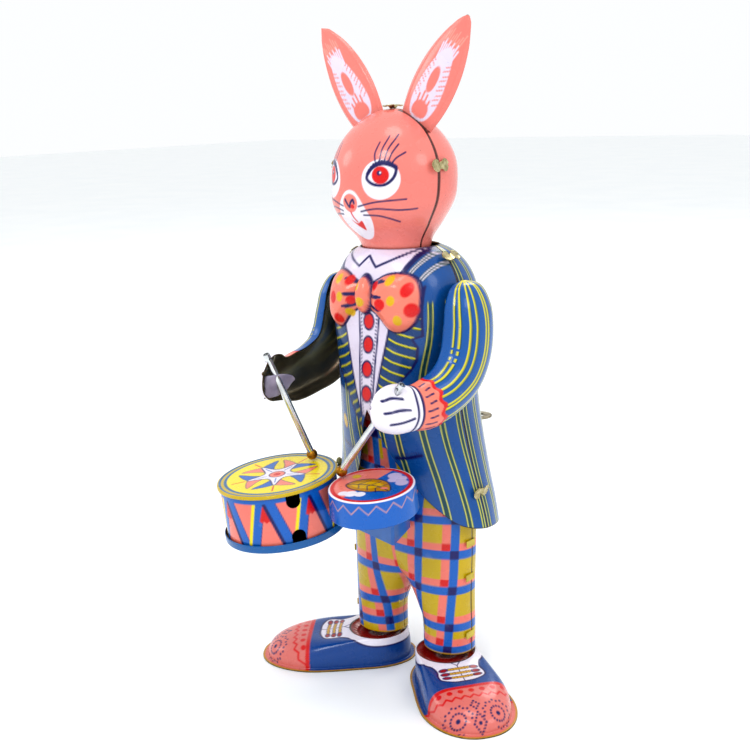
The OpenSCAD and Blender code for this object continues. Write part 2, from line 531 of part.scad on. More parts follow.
module ratchet_click() color([0.62, 0.62, 0.6]) on_arbor(click_at, great_y + 1.4) linear_extrude(0.9) difference() {
    union() {
        circle(1.3);
        polygon([[-1.1, 0.7], [1.1, 0.7], [-1.6, 4.6], [-3, 4.3]]);
    }
    circle(0.65);
}
module second_arbor() color([0.7, 0.7, 0.7]) arbor(second_at, 15.9, plate_y[1] + plate_t + 0.6);
module second_pinion() color([0.78, 0.66, 0.32])
    wheel(second_at, great_y - 0.4, 2.4, pinion_teeth, gear_m, arbor_r, -90 + 180 / pinion_teeth);
second_y = 25.4;
escape_bearing = atan2(escape_at[1] - second_at[1], escape_at[0] - second_at[0]);
module second_wheel() color([0.78, 0.66, 0.32])
    wheel(second_at, second_y, 1, second_teeth, fine_m, arbor_r, escape_bearing);
module drum_cam() color([0.72, 0.6, 0.3]) on_arbor(second_at, 16.2) difference() {
    union() {
        translate([0, 0, 1.6]) cylinder(r = 8.6, h = 1);
        for (a = [0, 180]) rotate([0, 0, a]) rotate_extrude(angle = 70) translate([6, 0]) square([2.6, 2.2]);
    }
    translate([0, 0, -1]) cylinder(r = arbor_r, h = 5);
}
module escape_arbor() color([0.7, 0.7, 0.7]) arbor(escape_at, plate_y[0] - 0.6, plate_y[1] + plate_t + 0.6);
module escape_pinion() color([0.78, 0.66, 0.32])
    wheel(escape_at, second_y - 0.4, 2, pinion_teeth, fine_m, arbor_r, escape_bearing + 180 + 180 / pinion_teeth);
escape_teeth = 10;
escape_r = 5.4;
escape_y = 29;
module escape_wheel() color([0.78, 0.66, 0.32]) on_arbor(escape_at, escape_y) linear_extrude(1) difference() {
    polygon([for (i = [0:escape_teeth - 1]) let (a = 10 + i * 360 / escape_teeth)
        each [turn([escape_r, 0], a), turn([escape_r - 1.8, 0], a + 12), turn([escape_r - 1.8, 0], a + 24)]]);
    circle(arbor_r);
}
module pallet_arbor() color([0.7, 0.7, 0.7]) arbor(pallet_at, plate_y[0] - 0.6, plate_y[1] + plate_t + 0.6);
module pallet() color([0.62, 0.62, 0.6]) on_arbor(pallet_at, escape_y) linear_extrude(1) difference() {
    union() {
        circle(2.4);
        rotate(-22) translate([0, -0.8]) square([3.6, 1.6]);
        rotate(160) translate([0, -0.9]) square([5, 1.8]);
    }
    circle(arbor_r);
}

head_front();
head_back();
left_ear();
right_ear();
head_clips();
neck_socket();
neck_post();
neck_collar();
neck_bridge();
coat_front();
coat_back();
coat_clips();
trousers_front();
trousers_back();
trouser_clips();
left_shoe();
right_shoe();
ankle_tabs();
big_drum_shell();
big_drum_head();
big_drum_base();
small_drum_cup();
small_drum_base();
drum_bracket();
drum_rivets();
shoulder_axle();
axle_hanger();
axle_washers();
left_arm();
left_finger_flap();
left_arm_hub();
left_drumstick();
left_stick_ball();
right_arm();
right_finger_flap();
right_arm_hub();
right_drumstick();
right_stick_ball();
motor_front_plate();
motor_back_plate();
motor_pillars();
mainspring();
winding_arbor();
winding_key();
ratchet_wheel();
ratchet_click();
click_pin();
great_wheel();
second_arbor();
second_pinion();
second_wheel();
drum_cam();
escape_arbor();
escape_pinion();
escape_wheel();
pallet();
pallet_arbor();
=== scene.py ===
"""The finished look of a wind-up tin rabbit that beats two drums.

Lengths are in millimetres here, and turn into metres when a mesh is made. +Z is up and the rabbit
faces -Y; left is the rabbit's own left, at +X. A printed shell is a grid of points. Its inks are
worked out at every point, in coordinates that run along the tin, and are kept in the colour
attribute "Ink", which the printed material reads.
"""
import math

import bpy
import numpy as np
from mathutils import Matrix, Vector


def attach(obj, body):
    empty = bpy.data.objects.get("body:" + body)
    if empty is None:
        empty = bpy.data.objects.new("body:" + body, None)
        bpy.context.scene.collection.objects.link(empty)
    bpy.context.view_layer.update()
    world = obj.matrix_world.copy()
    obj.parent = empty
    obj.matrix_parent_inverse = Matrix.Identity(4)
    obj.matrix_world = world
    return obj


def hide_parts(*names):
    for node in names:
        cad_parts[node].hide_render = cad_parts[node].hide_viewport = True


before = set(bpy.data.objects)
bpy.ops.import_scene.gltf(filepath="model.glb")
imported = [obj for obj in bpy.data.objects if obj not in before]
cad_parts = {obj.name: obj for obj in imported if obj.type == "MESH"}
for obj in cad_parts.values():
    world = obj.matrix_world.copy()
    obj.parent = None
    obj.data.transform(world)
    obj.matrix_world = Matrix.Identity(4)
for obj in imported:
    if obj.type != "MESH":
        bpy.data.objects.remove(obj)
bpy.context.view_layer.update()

MM = 0.001
TIN = 0.45
SEAM_GAP = 0.16
INK_ATTRIBUTE = "Ink"

# cap and shoe are deeper salmon and blue than the inks they copy: painted shade on the toe caps and
# the shoes
INKS = {
    "salmon": "EC8B82", "rose": "F08C7A", "blush": "F4A99C", "red": "DC1F14", "brick": "A8341E",
    "navy": "1E2066", "blue": "165E9E", "lapel": "174F80", "sky": "1F6DC0", "shirt": "E4DCEF",
    "white": "EEEAF4", "lilac": "CBBFE2", "yellow": "E4DA1A", "straw": "D6D46E",
    "lemon": "F0DD08", "olive": "CAAF04", "green": "1C5138", "teal": "1F6C9C", "pink": "EC8478",
    "crimson": "D4201C", "indigo": "26246E", "sleeve": "1A64A8", "gold": "C08E1E",
    "amber": "DCB414", "seam": "3E3018", "thread": "D9A294", "cap": "DC7F78", "shoe": "1A5596",
    "tray": "2668A4",
}


# ---- Numbers and curves -------------------------------------------------------------------------
def linear(code):
    """Linear colour of an sRGB hex code."""
    c = np.array([int(code[i:i + 2], 16) for i in (0, 2, 4)]) / 255
    return np.where(c <= 0.04045, c / 12.92, ((c + 0.055) / 1.055) ** 2.4)


# Varnish deepens the inks, and takes back what its own shine adds
VARNISH = 0.03
INK = {name: np.clip(linear(code) - VARNISH, 0.002, 1) for name, code in INKS.items()}


def mix(a, b, t):
    return a + (b - a) * t


def smooth(t):
    t = np.clip(t, 0, 1)
    return t * t * (3 - 2 * t)


def rounded(c, power):
    return np.sign(c) * np.abs(c) ** (2 / power)


def along(rows, t, k=1):
    """Column k of a table at position t, on a smooth curve through its rows."""
    table = np.array(rows, float)
    x, y = table[:, 0], table[:, k]
    slope = np.empty(len(x))
    slope[1:-1] = (y[2:] - y[:-2]) / (x[2:] - x[:-2])
    slope[0] = (y[1] - y[0]) / (x[1] - x[0])
    slope[-1] = (y[-1] - y[-2]) / (x[-1] - x[-2])
    i = np.clip(np.searchsorted(x, t, side="left") - 1, 0, len(x) - 2)
    h = x[i + 1] - x[i]
    s = np.clip((t - x[i]) / h, 0, 1)
    return (y[i] * (1 + 2 * s) * (1 - s) ** 2 + y[i + 1] * s * s * (3 - 2 * s)
            + h * (slope[i] * s * (1 - s) ** 2 - slope[i + 1] * s * s * (1 - s)))


def curve(points, closed=True, steps=6):
    """A smooth curve through a few points."""
    p = np.array(points, float)
    n = len(p)
    out = []
    for i in range(n if closed else n - 1):
        pick = [(i + k) % n if closed else min(max(i + k, 0), n - 1) for k in (-1, 0, 1, 2)]
        a, b, c, d = p[pick]
        for t in np.arange(steps) / steps:
            out.append(0.5 * (2 * b + (c - a) * t + (2 * a - 5 * b + 4 * c - d) * t * t
                              + (3 * b - a - 3 * c + d) * t ** 3))
    return np.array(out if closed else out + [p[-1]])


def mirrored(points):
    """The same outline on the other side of the middle line."""
    return [(-x, y) for x, y in points]


def turn_matrix(axis, degrees):
    """Rotation about a coordinate axis."""
    return np.array(Matrix.Rotation(math.radians(degrees), 3, axis))


def placed(points, turn, shift):
    return points @ turn.T + np.array(shift, float)


def arc_lengths(section, angles, heights):
    """Length along each level section, from its first angle, for every height and angle."""
    rows = []
    for z in heights:
        p = section(angles, np.full(len(angles), z))
        rows.append(np.concatenate([[0], np.cumsum(np.linalg.norm(np.diff(p, axis=0), axis=1))]))
    return np.array(rows)


def by_height(table, heights, z):
    """Values of a table of heights and columns, at the heights z of a grid with those columns."""
    return np.stack([np.interp(z[:, j], heights, table[:, j]) for j in range(z.shape[1])], axis=1)


def even_angles(section, start, end, count):
    """Angles that divide a section into equal lengths."""
    fine = np.linspace(start, end, 1500)
    p = section(fine)
    length = np.concatenate([[0], np.cumsum(np.linalg.norm(np.diff(p, axis=0), axis=1))])
    return np.interp(np.linspace(0, length[-1], count), length, fine)


# ---- Printing -----------------------------------------------------------------------------------
def path_distance(u, v, points, closed):
    """Distance of each point from a chain of straight lines."""
    best = np.full(u.shape, 1e9)
    ends = list(zip(points, points[1:])) + ([(points[-1], points[0])] if closed else [])
    for a, b in ends:
        du, dv = b[0] - a[0], b[1] - a[1]
        t = np.clip(((u - a[0]) * du + (v - a[1]) * dv) / max(du * du + dv * dv, 1e-9), 0, 1)
        best = np.minimum(best, np.hypot(u - a[0] - t * du, v - a[1] - t * dv))
    return best


def inside_path(u, v, points):
    """Whether each point lies inside a closed outline."""
    inside = np.zeros(u.shape, bool)
    for a, b in zip(points, np.roll(points, -1, axis=0)):
        if a[1] != b[1]:
            inside ^= ((v > a[1]) != (v > b[1])) & (
                u < a[0] + (v - a[1]) / (b[1] - a[1]) * (b[0] - a[0]))
    return inside


class Print:
    """Inks laid over one another on a sheet of tin. u and v are places along the sheet."""

    def __init__(self, u, v, ink, soft=0.16, rgb=None, mask=None):
        self.u, self.v, self.soft, self.mask = u, v, soft, mask
        self.rgb = np.tile(INK[ink], u.shape + (1,)) if rgb is None else rgb

    def on(self, u, v):
        """The same sheet, in other coordinates."""
        return Print(u, v, None, self.soft, self.rgb, self.mask)

    def only(self, mask):
        """The same sheet, where only the part under a mask takes ink."""
        return Print(self.u, self.v, None, self.soft, self.rgb, mask)

    def inside(self, points):
        return inside_path(self.u, self.v, np.array(points, float)).astype(float)

    def near(self, points, margin):
        p = np.array(points, float).reshape(-1, 2)
        low, high = p.min(0) - margin, p.max(0) + margin
        return (self.u > low[0]) & (self.u < high[0]) & (self.v > low[1]) & (self.v < high[1])

    def lay(self, distance, ink, where=None, strength=1.0):
        """Ink wherever the distance is below 0, with a soft edge."""
        if where is None:
            where = np.ones(self.u.shape, bool)
            distance = distance[where]
        cover = np.clip(0.5 - distance / (2 * self.soft), 0, 1) * strength
        if self.mask is not None:
            cover = cover * self.mask[where]
        self.rgb[where] += cover.reshape(-1, 1) * (INK[ink] - self.rgb[where])

    def oval(self, at, rx, ry, ink, turn=0, edge=None, width=0.5):
        where = self.near([at], max(rx, ry) + 1 + width)
        du, dv = self.u[where] - at[0], self.v[where] - at[1]
        c, s = math.cos(math.radians(turn)), math.sin(math.radians(turn))
        d = (np.hypot((du * c + dv * s) / rx, (dv * c - du * s) / ry) - 1) * min(rx, ry)
        if ink:
            self.lay(d, ink, where)
        if edge:
            self.lay(abs(d) - width / 2, edge, where)

    def dot(self, at, r, ink):
        self.oval(at, r, r, ink)

    def line(self, points, width, ink):
        points = np.array(points, float)
        where = self.near(points, width + 0.5)
        d = path_distance(self.u[where], self.v[where], points, False)
        self.lay(d - width / 2, ink, where)

    def shape(self, points, ink, edge=None, width=0.5):
        points = np.array(points, float)
        where = self.near(points, width + 0.5)
        u, v = self.u[where], self.v[where]
        d = path_distance(u, v, points, True)
        if ink:
            self.lay(np.where(inside_path(u, v, points), -d, d), ink, where)
        if edge:
            self.lay(d - width / 2, edge, where)

    def depth(self, points):
        """How far inside a closed outline each point is, and 0 outside it."""
        points = np.array(points, float)
        out = np.zeros(self.u.shape)
        where = self.near(points, 0)
        u, v = self.u[where], self.v[where]
        out[where] = path_distance(u, v, points, True) * inside_path(u, v, points)
        return out


# ---- Meshes -------------------------------------------------------------------------------------
def new_piece(name, verts, faces, material_of, smooth_of, materials, rgb=None, holes=()):
    """A mesh of quads, and of the rings in holes as single faces, from points in millimetres."""
    used = np.unique(np.concatenate([faces.ravel()] + [np.array(ring) for ring in holes]))
    new_index = np.full(len(verts), -1)
    new_index[used] = np.arange(len(used))
    loops = np.concatenate([new_index[faces].ravel()] + [new_index[np.array(r)] for r in holes])
    sizes = np.concatenate([np.full(len(faces), 4), [len(r) for r in holes]]).astype(int)
    starts = np.concatenate([[0], np.cumsum(sizes)[:-1]])
    mesh = bpy.data.meshes.new(name)
    mesh.vertices.add(len(used))
    mesh.vertices.foreach_set("co", (verts[used] * MM).astype(np.float32).ravel())
    mesh.loops.add(len(loops))
    mesh.loops.foreach_set("vertex_index", loops.astype(np.int32))
    mesh.polygons.add(len(starts))
    mesh.polygons.foreach_set("loop_start", starts.astype(np.int32))
    mesh.polygons.foreach_set("material_index", np.asarray(material_of, np.int32))
    mesh.polygons.foreach_set("use_smooth", np.asarray(smooth_of, bool))
    for material in materials:
        mesh.materials.append(material)
    mesh.update(calc_edges=True)
    if rgb is not None:
        ink = mesh.color_attributes.new(INK_ATTRIBUTE, "FLOAT_COLOR", "POINT")
        rgba = np.concatenate([rgb[used], np.ones((len(used), 1))], axis=1)
        ink.data.foreach_set("color", rgba.astype(np.float32).ravel())
    mesh.validate()
    piece = bpy.data.objects.new(name, mesh)
    bpy.context.scene.collection.objects.link(piece)
    return piece


def facing(grid, wrap):
    """Outward unit normals of a grid, whose columns close on themselves if wrap is set."""
    if wrap:
        across = np.roll(grid, -1, 1) - np.roll(grid, 1, 1)
    else:
        across = np.gradient(grid, axis=1)
    n = np.cross(across, np.gradient(grid, axis=0))
    return n / np.maximum(np.linalg.norm(n, axis=2, keepdims=True), 1e-12)


def cut_round(grid, keep, corners, centre, axis, radius):
    """Drops the cells of a grid inside a round hole, and brings the hole's edge onto its circle."""
    axis = np.array(axis, float) / np.linalg.norm(axis)
    flat = grid.reshape(-1, 3)
    rel = flat - np.array(centre, float)
    depth = rel @ axis
    radial = rel - depth[:, None] * axis
    reach = np.linalg.norm(radial, axis=1)
    middle = flat[corners].mean(1) - np.array(centre, float)
    middle_depth = middle @ axis
    middle_reach = np.linalg.norm(middle - middle_depth[:, None] * axis, axis=1)
    gone = keep & (middle_depth > 0) & (middle_reach < radius)
    keep = keep & ~gone
    edge = np.intersect1d(corners[gone].ravel(), corners[keep].ravel())
    edge = edge[depth[edge] > 0]
    flat[edge] += radial[edge] * (radius / reach[edge] - 1)[:, None]
    return keep


def cells(rows, columns, wrap):
    """Corner indices of the cells of a grid, in the order that faces outwards."""
    index = np.arange(rows * columns).reshape(rows, columns)
    right = np.roll(index, -1, 1) if wrap else index[:, 1:]
    left = index if wrap else index[:, :-1]
    return np.stack([left[:-1], right[:-1], right[1:], left[1:]], axis=-1).reshape(-1, 4)


def edge_cells(quads, count, rings=()):
    """Cells that join the open edges of a sheet to those of its inner skin, count points later."""
    ends = np.stack([quads, np.roll(quads, -1, 1)], axis=-1).reshape(-1, 2)
    for ring in rings:
        ends = np.concatenate([ends, np.stack([ring, np.roll(ring, -1)], axis=-1)])
    forward = ends[:, 0].astype(np.int64) * count + ends[:, 1]
    back = ends[:, 1].astype(np.int64) * count + ends[:, 0]
    edge = ends[~np.isin(forward, back)]
    return np.stack([edge[:, 1], edge[:, 0], edge[:, 0] + count, edge[:, 1] + count], axis=-1)


def two_skins(name, points, normals, quads, rgb, materials, inside=None, rings=(), place=None):
    """A sheet of tin with a printed outer skin, an inner skin and edges, closed all round."""
    count = len(points)
    verts = np.concatenate([points, points - TIN * normals])
    if place is not None:
        verts = placed(verts, *place)
    rim = edge_cells(quads, count, rings)
    faces = np.concatenate([quads, quads[:, ::-1] + count, rim])
    caps = [list(r) for r in rings] + [list(np.array(r)[::-1] + count) for r in rings]
    inner_ink = rgb if inside is None else np.tile(INK[inside], (count, 1))
    material_of = np.concatenate([np.zeros(len(quads)), np.full(len(quads), 1),
                                  np.full(len(rim), 2), np.zeros(len(rings)), np.ones(len(rings))])
    smooth_of = np.concatenate([np.ones(2 * len(quads)), np.zeros(len(rim)), np.ones(len(caps))])
    return new_piece(name, verts, faces, material_of, smooth_of, materials,
                     np.concatenate([rgb, inner_ink]), caps)


def pressing(name, grid, rgb, materials, wrap=False, inside=None, holes=(), cap=None, place=None):
    """A pressed sheet from one grid. cap closes the first or last row of a wrapped grid."""
    rows, columns = grid.shape[:2]
    quads = cells(rows, columns, wrap)
    keep = np.ones(len(quads), bool)
    grid = grid.copy()
    normals = facing(grid, wrap)
    for centre, axis, radius in holes:
        keep = cut_round(grid, keep, quads, centre, axis, radius)
    ring = {"first": np.arange(columns)[::-1], "last": np.arange(columns) + (rows - 1) * columns}
    return two_skins(name, grid.reshape(-1, 3), normals.reshape(-1, 3), quads[keep],
                     rgb.reshape(-1, 3), materials, inside, [ring[cap]] if cap else (), place)


def finish(piece, body, slot, *nodes):
    """Puts a piece on its body and in place of its CAD nodes."""
    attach(piece, body)
    if nodes:
        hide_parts(*nodes)
    return piece


# ---- Materials ----------------------------------------------------------------------------------
class Finish:
    """A node material in the making. Its patterns are fixed to the piece."""

    def __init__(self, name, metallic=0.0, coat=0.0, coat_roughness=0.1):
        self.material = bpy.data.materials.new(name)
        self.material.use_nodes = True
        self.tree = self.material.node_tree
        self.shader = next(n for n in self.tree.nodes if n.type == "BSDF_PRINCIPLED")
        self.shader.inputs["Metallic"].default_value = metallic
        self.shader.inputs["Coat Weight"].default_value = coat
        self.shader.inputs["Coat Roughness"].default_value = coat_roughness
        self.shader.inputs["Specular IOR Level"].default_value = 0.35
        self.place = self.tree.nodes.new("ShaderNodeTexCoord").outputs["Object"]

    def noise(self, scale, detail=3.0, stretch=None):
        node = self.tree.nodes.new("ShaderNodeTexNoise")
        node.inputs["Scale"].default_value = scale
        node.inputs["Detail"].default_value = detail
        place = self.place
        if stretch:
            mapping = self.tree.nodes.new("ShaderNodeMapping")
            mapping.inputs["Scale"].default_value = stretch
            self.tree.links.new(place, mapping.inputs["Vector"])
            place = mapping.outputs["Vector"]
        self.tree.links.new(place, node.inputs["Vector"])
        return node.outputs["Fac"]

    def range(self, value, low, high, to_low=0.0, to_high=1.0):
        node = self.tree.nodes.new("ShaderNodeMapRange")
        for name, number in (("From Min", low), ("From Max", high), ("To Min", to_low),
                             ("To Max", to_high)):
            node.inputs[name].default_value = number
        self.tree.links.new(value, node.inputs["Value"])
        return node.outputs["Result"]

    def blend(self, factor, first, second, kind="MIX"):
        node = self.tree.nodes.new("ShaderNodeMix")
        node.data_type = "RGBA"
        node.blend_type = kind
        sockets = {s.identifier: s for s in node.inputs}
        for value, socket in ((factor, "Factor_Float"), (first, "A_Color"), (second, "B_Color")):
            if isinstance(value, bpy.types.NodeSocket):
                self.tree.links.new(value, sockets[socket])
            else:
                sockets[socket].default_value = value
        return next(s for s in node.outputs if s.identifier == "Result_Color")

    def colour(self, value):
        self.tree.links.new(value, self.shader.inputs["Base Color"])

    def roughness(self, value):
        self.tree.links.new(value, self.shader.inputs["Roughness"])

    def bump(self, height, strength, distance):
        node = self.tree.nodes.new("ShaderNodeBump")
        node.inputs["Strength"].default_value = strength
        node.inputs["Distance"].default_value = distance
        self.tree.links.new(height, node.inputs["Height"])
        self.tree.links.new(node.outputs["Normal"], self.shader.inputs["Normal"])


def rgba(code, scale=1.0):
    return (*(linear(code) * scale), 1.0)


def printed_tin():
    """Lithographed tin: varnished inks, a little uneven, with specks and handling marks."""
    f = Finish("printed_tin", coat=0.3, coat_roughness=0.09)
    ink = f.tree.nodes.new("ShaderNodeAttribute")
    ink.attribute_name = INK_ATTRIBUTE
    cloud = f.range(f.noise(45, 3), 0.3, 0.7, 0.0, 0.35)
    tone = f.blend(cloud, ink.outputs["Color"], (0.86, 0.84, 0.82, 1), "MULTIPLY")
    speck = f.range(f.noise(1300, 2), 0.735, 0.775, 0.0, 0.55)
    tone = f.blend(speck, tone, rgba("4A3A2C"))
    rub = f.range(f.noise(160, 6), 0.66, 0.8, 0.0, 0.1)
    f.colour(f.blend(rub, tone, rgba("E8E4E0")))
    f.roughness(f.range(f.noise(150, 5), 0.3, 0.75, 0.2, 0.36))
    f.bump(f.noise(420, 3), 0.10, 0.0002)
    return f.material


def metal(name, light, dark, rough=(0.25, 0.45), grain=300, stretch=None, coat=0.0, bump=0.15,
          metallic=1.0):
    """Bare or plated metal in two tones, with grain."""
    f = Finish(name, metallic, coat)
    f.colour(f.blend(f.range(f.noise(grain, 5, stretch), 0.35, 0.68), rgba(light), rgba(dark)))
    f.roughness(f.range(f.noise(grain * 0.6, 4, stretch), 0.3, 0.7, *rough))
    f.bump(f.noise(grain * 2.2, 4, stretch), bump, 0.0002)
    return f.material


PRINTED = printed_tin()
BARE = metal("bare_tin", "B9B09A", "7C7260", (0.32, 0.5), 220)
DARK_INSIDE = metal("smoked_tin", "BDB39B", "6E6552", (0.1, 0.24), 60, bump=0.1, metallic=0.85)
LACQUERED = metal("lacquered_tin", "8A744C", "5C4A30", (0.38, 0.55), 180)
EDGE = metal("cut_edge", "8C7A52", "4E4228", (0.35, 0.55), 500)
CLIP = metal("aged_clip", "CFC59C", "94885E", (0.22, 0.42), 520)
STEEL = metal("plated_steel", "E4E6E6", "C6C9CA", (0.16, 0.26), 200, bump=0.05)
MOTOR = metal("motor_steel", "AEB0B0", "83868A", (0.25, 0.42), 240, (1, 1, 6))
BRASS = metal("gear_brass", "D9B659", "A8843A", (0.22, 0.4), 300)
SPRING = metal("blued_spring", "46597C", "2C3850", (0.2, 0.35), 300, (1, 1, 5))
BALL = metal("gilt_ball", "C48A2A", "7E5212", (0.2, 0.42), 260, bump=0.25)
PLAIN_BLUE = metal("blue_enamel", "2270C2", "1B60AC", (0.22, 0.38), 130, coat=0.4, bump=0.08,
                   metallic=0.0)
PLAIN_YELLOW = metal("yellow_enamel", "D8C53A", "B9A428", (0.25, 0.4), 260, coat=0.3, bump=0.1,
                     metallic=0.0)
# Lilac grey, darker than the fingers' light lilac white print: painted shade on the folded fingers
# under the hand
SHADED_LILAC = metal("lilac_enamel_in_shade", "A39CB2", "878196", (0.25, 0.4), 200, coat=0.3, bump=0.1,
                    metallic=0.0)
TIN_SHEET = [PRINTED, LACQUERED, EDGE]


# ---- Head ---------------------------------------------------------------------------------------
HEAD_R = 23
HEAD_AT = (0, 10.5, 194)
HEAD = [[-25.5, 11.8], [-23.5, 12.3], [-20, 13.6], [-14, 18], [-7, 21.7], [0, 22.4], [7, 22],
        [13, 19.8], [19, 15.4], [23.5, 9.6], [25.8, 4.2], [26.3, 0.5]]
HEAD_WIDEST = 22.4
HEAD_SCALE = HEAD_R / HEAD_WIDEST
HEAD_LOW, HEAD_TALL = -25.5, 51.8
JAW_OUT, JAW_Z, JAW_SPREAD = 1.5, -11, 8
HEAD_SEAM = 9
FACE_TURN = -5
FACE_R = HEAD_WIDEST
NO_TURN = np.eye(3)
EAR = [[0, 6.9], [0.24, 8.9], [0.42, 9.2], [0.6, 8.3], [0.78, 6.1], [0.9, 3.7], [0.965, 2],
       [1, 0.3]]
EAR_L = 44
EAR_AT = (9.2, 9.2, 213.3)
EAR_LEAN = 33
EAR_FORWARD = -2


def head_grid(start, end, rows, columns):
    z = HEAD_LOW + HEAD_TALL * (1 - np.cos(np.linspace(0, math.pi, rows))) / 2
    z, a = np.meshgrid(z, np.radians(np.linspace(start, end, columns)), indexing="ij")
    r = along(HEAD, z) * HEAD_SCALE
    jaw = JAW_OUT * np.exp(-((z - JAW_Z) / JAW_SPREAD) ** 2)
    return np.stack([r * np.cos(a), r * np.sin(a) - jaw, z], axis=-1), z, a


def paint_eye(p, side):
    def at(*points):
        return [(side * x, z) for x, z in points]
    p.oval(at((12.2, 2.4))[0], 6.9, 6.9, "white")
    almond = curve(at((7.3, 3.3), (9.2, 6.3), (12.6, 7.7), (15.6, 7.2), (17.6, 5.9), (16.7, 2.9),
                      (14, 0.7), (10.8, 0.5), (8.4, 1.5)))
    p.shape(almond, "white", "navy", 1.05)
    lid = curve(at((7.6, 4.4), (9.7, 7), (12.7, 8.1), (15.6, 7.6), (17.7, 6.2)), closed=False)
    p.line(lid, 1.3, "navy")
    for x, z in lid[2::2]:
        p.dot((x, z + 0.55), 0.48, "navy")
    p.dot(at((12.2, 3.9))[0], 3.05, "red")
    p.dot(at((11.8, 4.6))[0], 0.85, "navy")
    p.dot((side * 11.8 + 0.35, 4.75), 0.36, "white")
    for lash in (((10.2, 8.8), (10, 11.6), (11.4, 15)), ((11.9, 8.9), (12.7, 12.9), (15.4, 17)),
                 ((13.6, 8.9), (15.2, 13.1), (19.4, 17.4)), ((15.1, 8.6), (16.4, 11.4), (19, 14.2)),
                 ((16.3, 7.9), (18, 9.7), (21.4, 11.4))):
        p.line(curve(at(*lash), closed=False), 0.58, "navy")


def paint_face(p):
    for side in (-1, 1):
        paint_eye(p, side)
    half = [(0, -1.2), (2.6, -2.1), (5, -4.9), (6.8, -8), (8.3, -11.4), (7.7, -15.2), (4.8, -18.4)]
    p.shape(curve(half + [(0, -19.6)] + mirrored(half[:0:-1])), "white")
    p.oval((0, -5.8), 3.5, 3.3, "salmon")
    p.line(curve([(-2.3, -4.6), (-1.4, -5.9), (-0.2, -7.2), (0.4, -5.6), (1.5, -4.6), (2, -5.8)],
                 closed=False), 0.85, "navy")
    p.oval((1.1, -7), 0.9, 0.8, "red")
    p.line(curve([(-0.3, -9.1), (0.1, -11), (1, -12.6)], closed=False), 0.7, "red")
    p.shape(curve([(-2, -11.8), (0.6, -13.2), (3.6, -12.2), (3.5, -15.6), (1.9, -15.2),
                   (-0.4, -13.6)]), "red")
    for side in (-1, 1):
        for hair in (((3.9, -6.9), (9.8, -5.5), (15.5, -4.9), (21.4, -4.6)),
                     ((4.7, -8.7), (10.9, -7.7), (19.2, -8.3), (26, -8.1)),
                     ((5.5, -10), (11.3, -10.2), (15.5, -11.2), (19.8, -12.6))):
            p.line(curve([(side * x, z) for x, z in hair], closed=False), 0.58, "navy")


def seam_shade_line(p, count=2):
    """Dark edge where a half shell meets the other, on its first and last columns:
    painted shade of the narrow gap between the shells, over the tin's bare edge.
    """
    for j in list(range(count)) + list(range(-count, 0)):
        p.rgb[:, j] = mix(p.rgb[:, j], INK["seam"], 0.85)


def ear_turn(side):
    return turn_matrix("Y", side * EAR_LEAN) @ turn_matrix("X", EAR_FORWARD)


def shade_ear_feet(p, points):
    """A dark line on the head where each ear enters it."""
    for side in (-1, 1):
        local = (points - np.array([side * EAR_AT[0], EAR_AT[1], EAR_AT[2]])) @ ear_turn(side)
        wide = along(EAR, np.clip(local[..., 2] / EAR_L, 0, 1)) + 0.3
        near = np.maximum(abs(local[..., 1] + 0.5) - 1.15, abs(local[..., 0]) - wide)
        p.lay(np.maximum(near, -1.5 - local[..., 2]), "seam", strength=0.85)


def make_head():
    grid, z, a = head_grid(HEAD_SEAM - 180, -HEAD_SEAM, 230, 200)
    lon = np.degrees(a) + 90 - FACE_TURN
    p = Print(FACE_R * np.radians(lon), z, "salmon")
    paint_face(p)
    shade_ear_feet(p, grid + np.array(HEAD_AT))
    seam_shade_line(p)
    x, y, height = HEAD_AT
    front = pressing("head_front_shell", grid, p.rgb, TIN_SHEET,
                     place=(NO_TURN, (x, y - SEAM_GAP / 2, height)))
    finish(front, "head", "tin_salmon", "head_front")
    grid, z, a = head_grid(-HEAD_SEAM, HEAD_SEAM + 180, 150, 150)
    p = Print(FACE_R * a, z, "salmon")
    shade_ear_feet(p, grid + np.array(HEAD_AT))
    seam_shade_line(p)
    back = pressing("head_back_shell", grid, p.rgb, TIN_SHEET,
                    place=(NO_TURN, (x, y + SEAM_GAP / 2, height)))
    finish(back, "head", "tin_salmon", "head_back")


def paint_ear(p, side):
    patch = [(0, 3.6), (3.4, 4.8), (5.2, 8.6), (5.8, 14), (5.3, 20), (4.2, 26), (2.7, 30.4),
             (0.6, 32), (-1.6, 30), (-3.4, 26), (-4.8, 20), (-5.5, 14), (-5.2, 8.6), (-3.4, 4.8)]
    p.shape(curve([(side * x, t) for x, t in patch]), "shirt")
    for k in range(9):
        x = side * (-3.6 + 0.9 * k)
        p.line([(x * 0.8, 26.5), (x * 0.95 + side * 0.3, 32.2 + 1.7 * (k % 2))], 0.6, "shirt")
        p.line([(x * 0.9, 33.4), (x * 0.95 + side * 0.4, 36 + 1.1 * (k % 3))], 0.34, "blush")
    palm = [(-3.4, 6.6), (-2.4, 5), (0.4, 4.6), (2.8, 5.6), (3.5, 8), (2.6, 10.4), (-0.4, 11),
            (-2.8, 9.4)]
    p.shape(curve([(side * x, t) for x, t in palm]), "salmon")
    for k, tall in enumerate((12.6, 14.4, 13.6, 12.2)):
        x = side * (-2.3 + 1.5 * k)
        p.line([(x, 9), (x * 1.12, tall)], 0.75, "salmon")
    p.oval((0, 19.4), 1.9, 5, "salmon")
    for k in range(9):
        t = 12.4 + 1.75 * k
        reach = 5.6 - 0.1 * (t - 12) - 0.5 * (k % 2)
        for flank in (-1, 1):
            p.line([(flank * (reach - 1.5), t - 0.9), (flank * (reach + 0.4), t + 0.4)], 0.42,
                   "salmon")


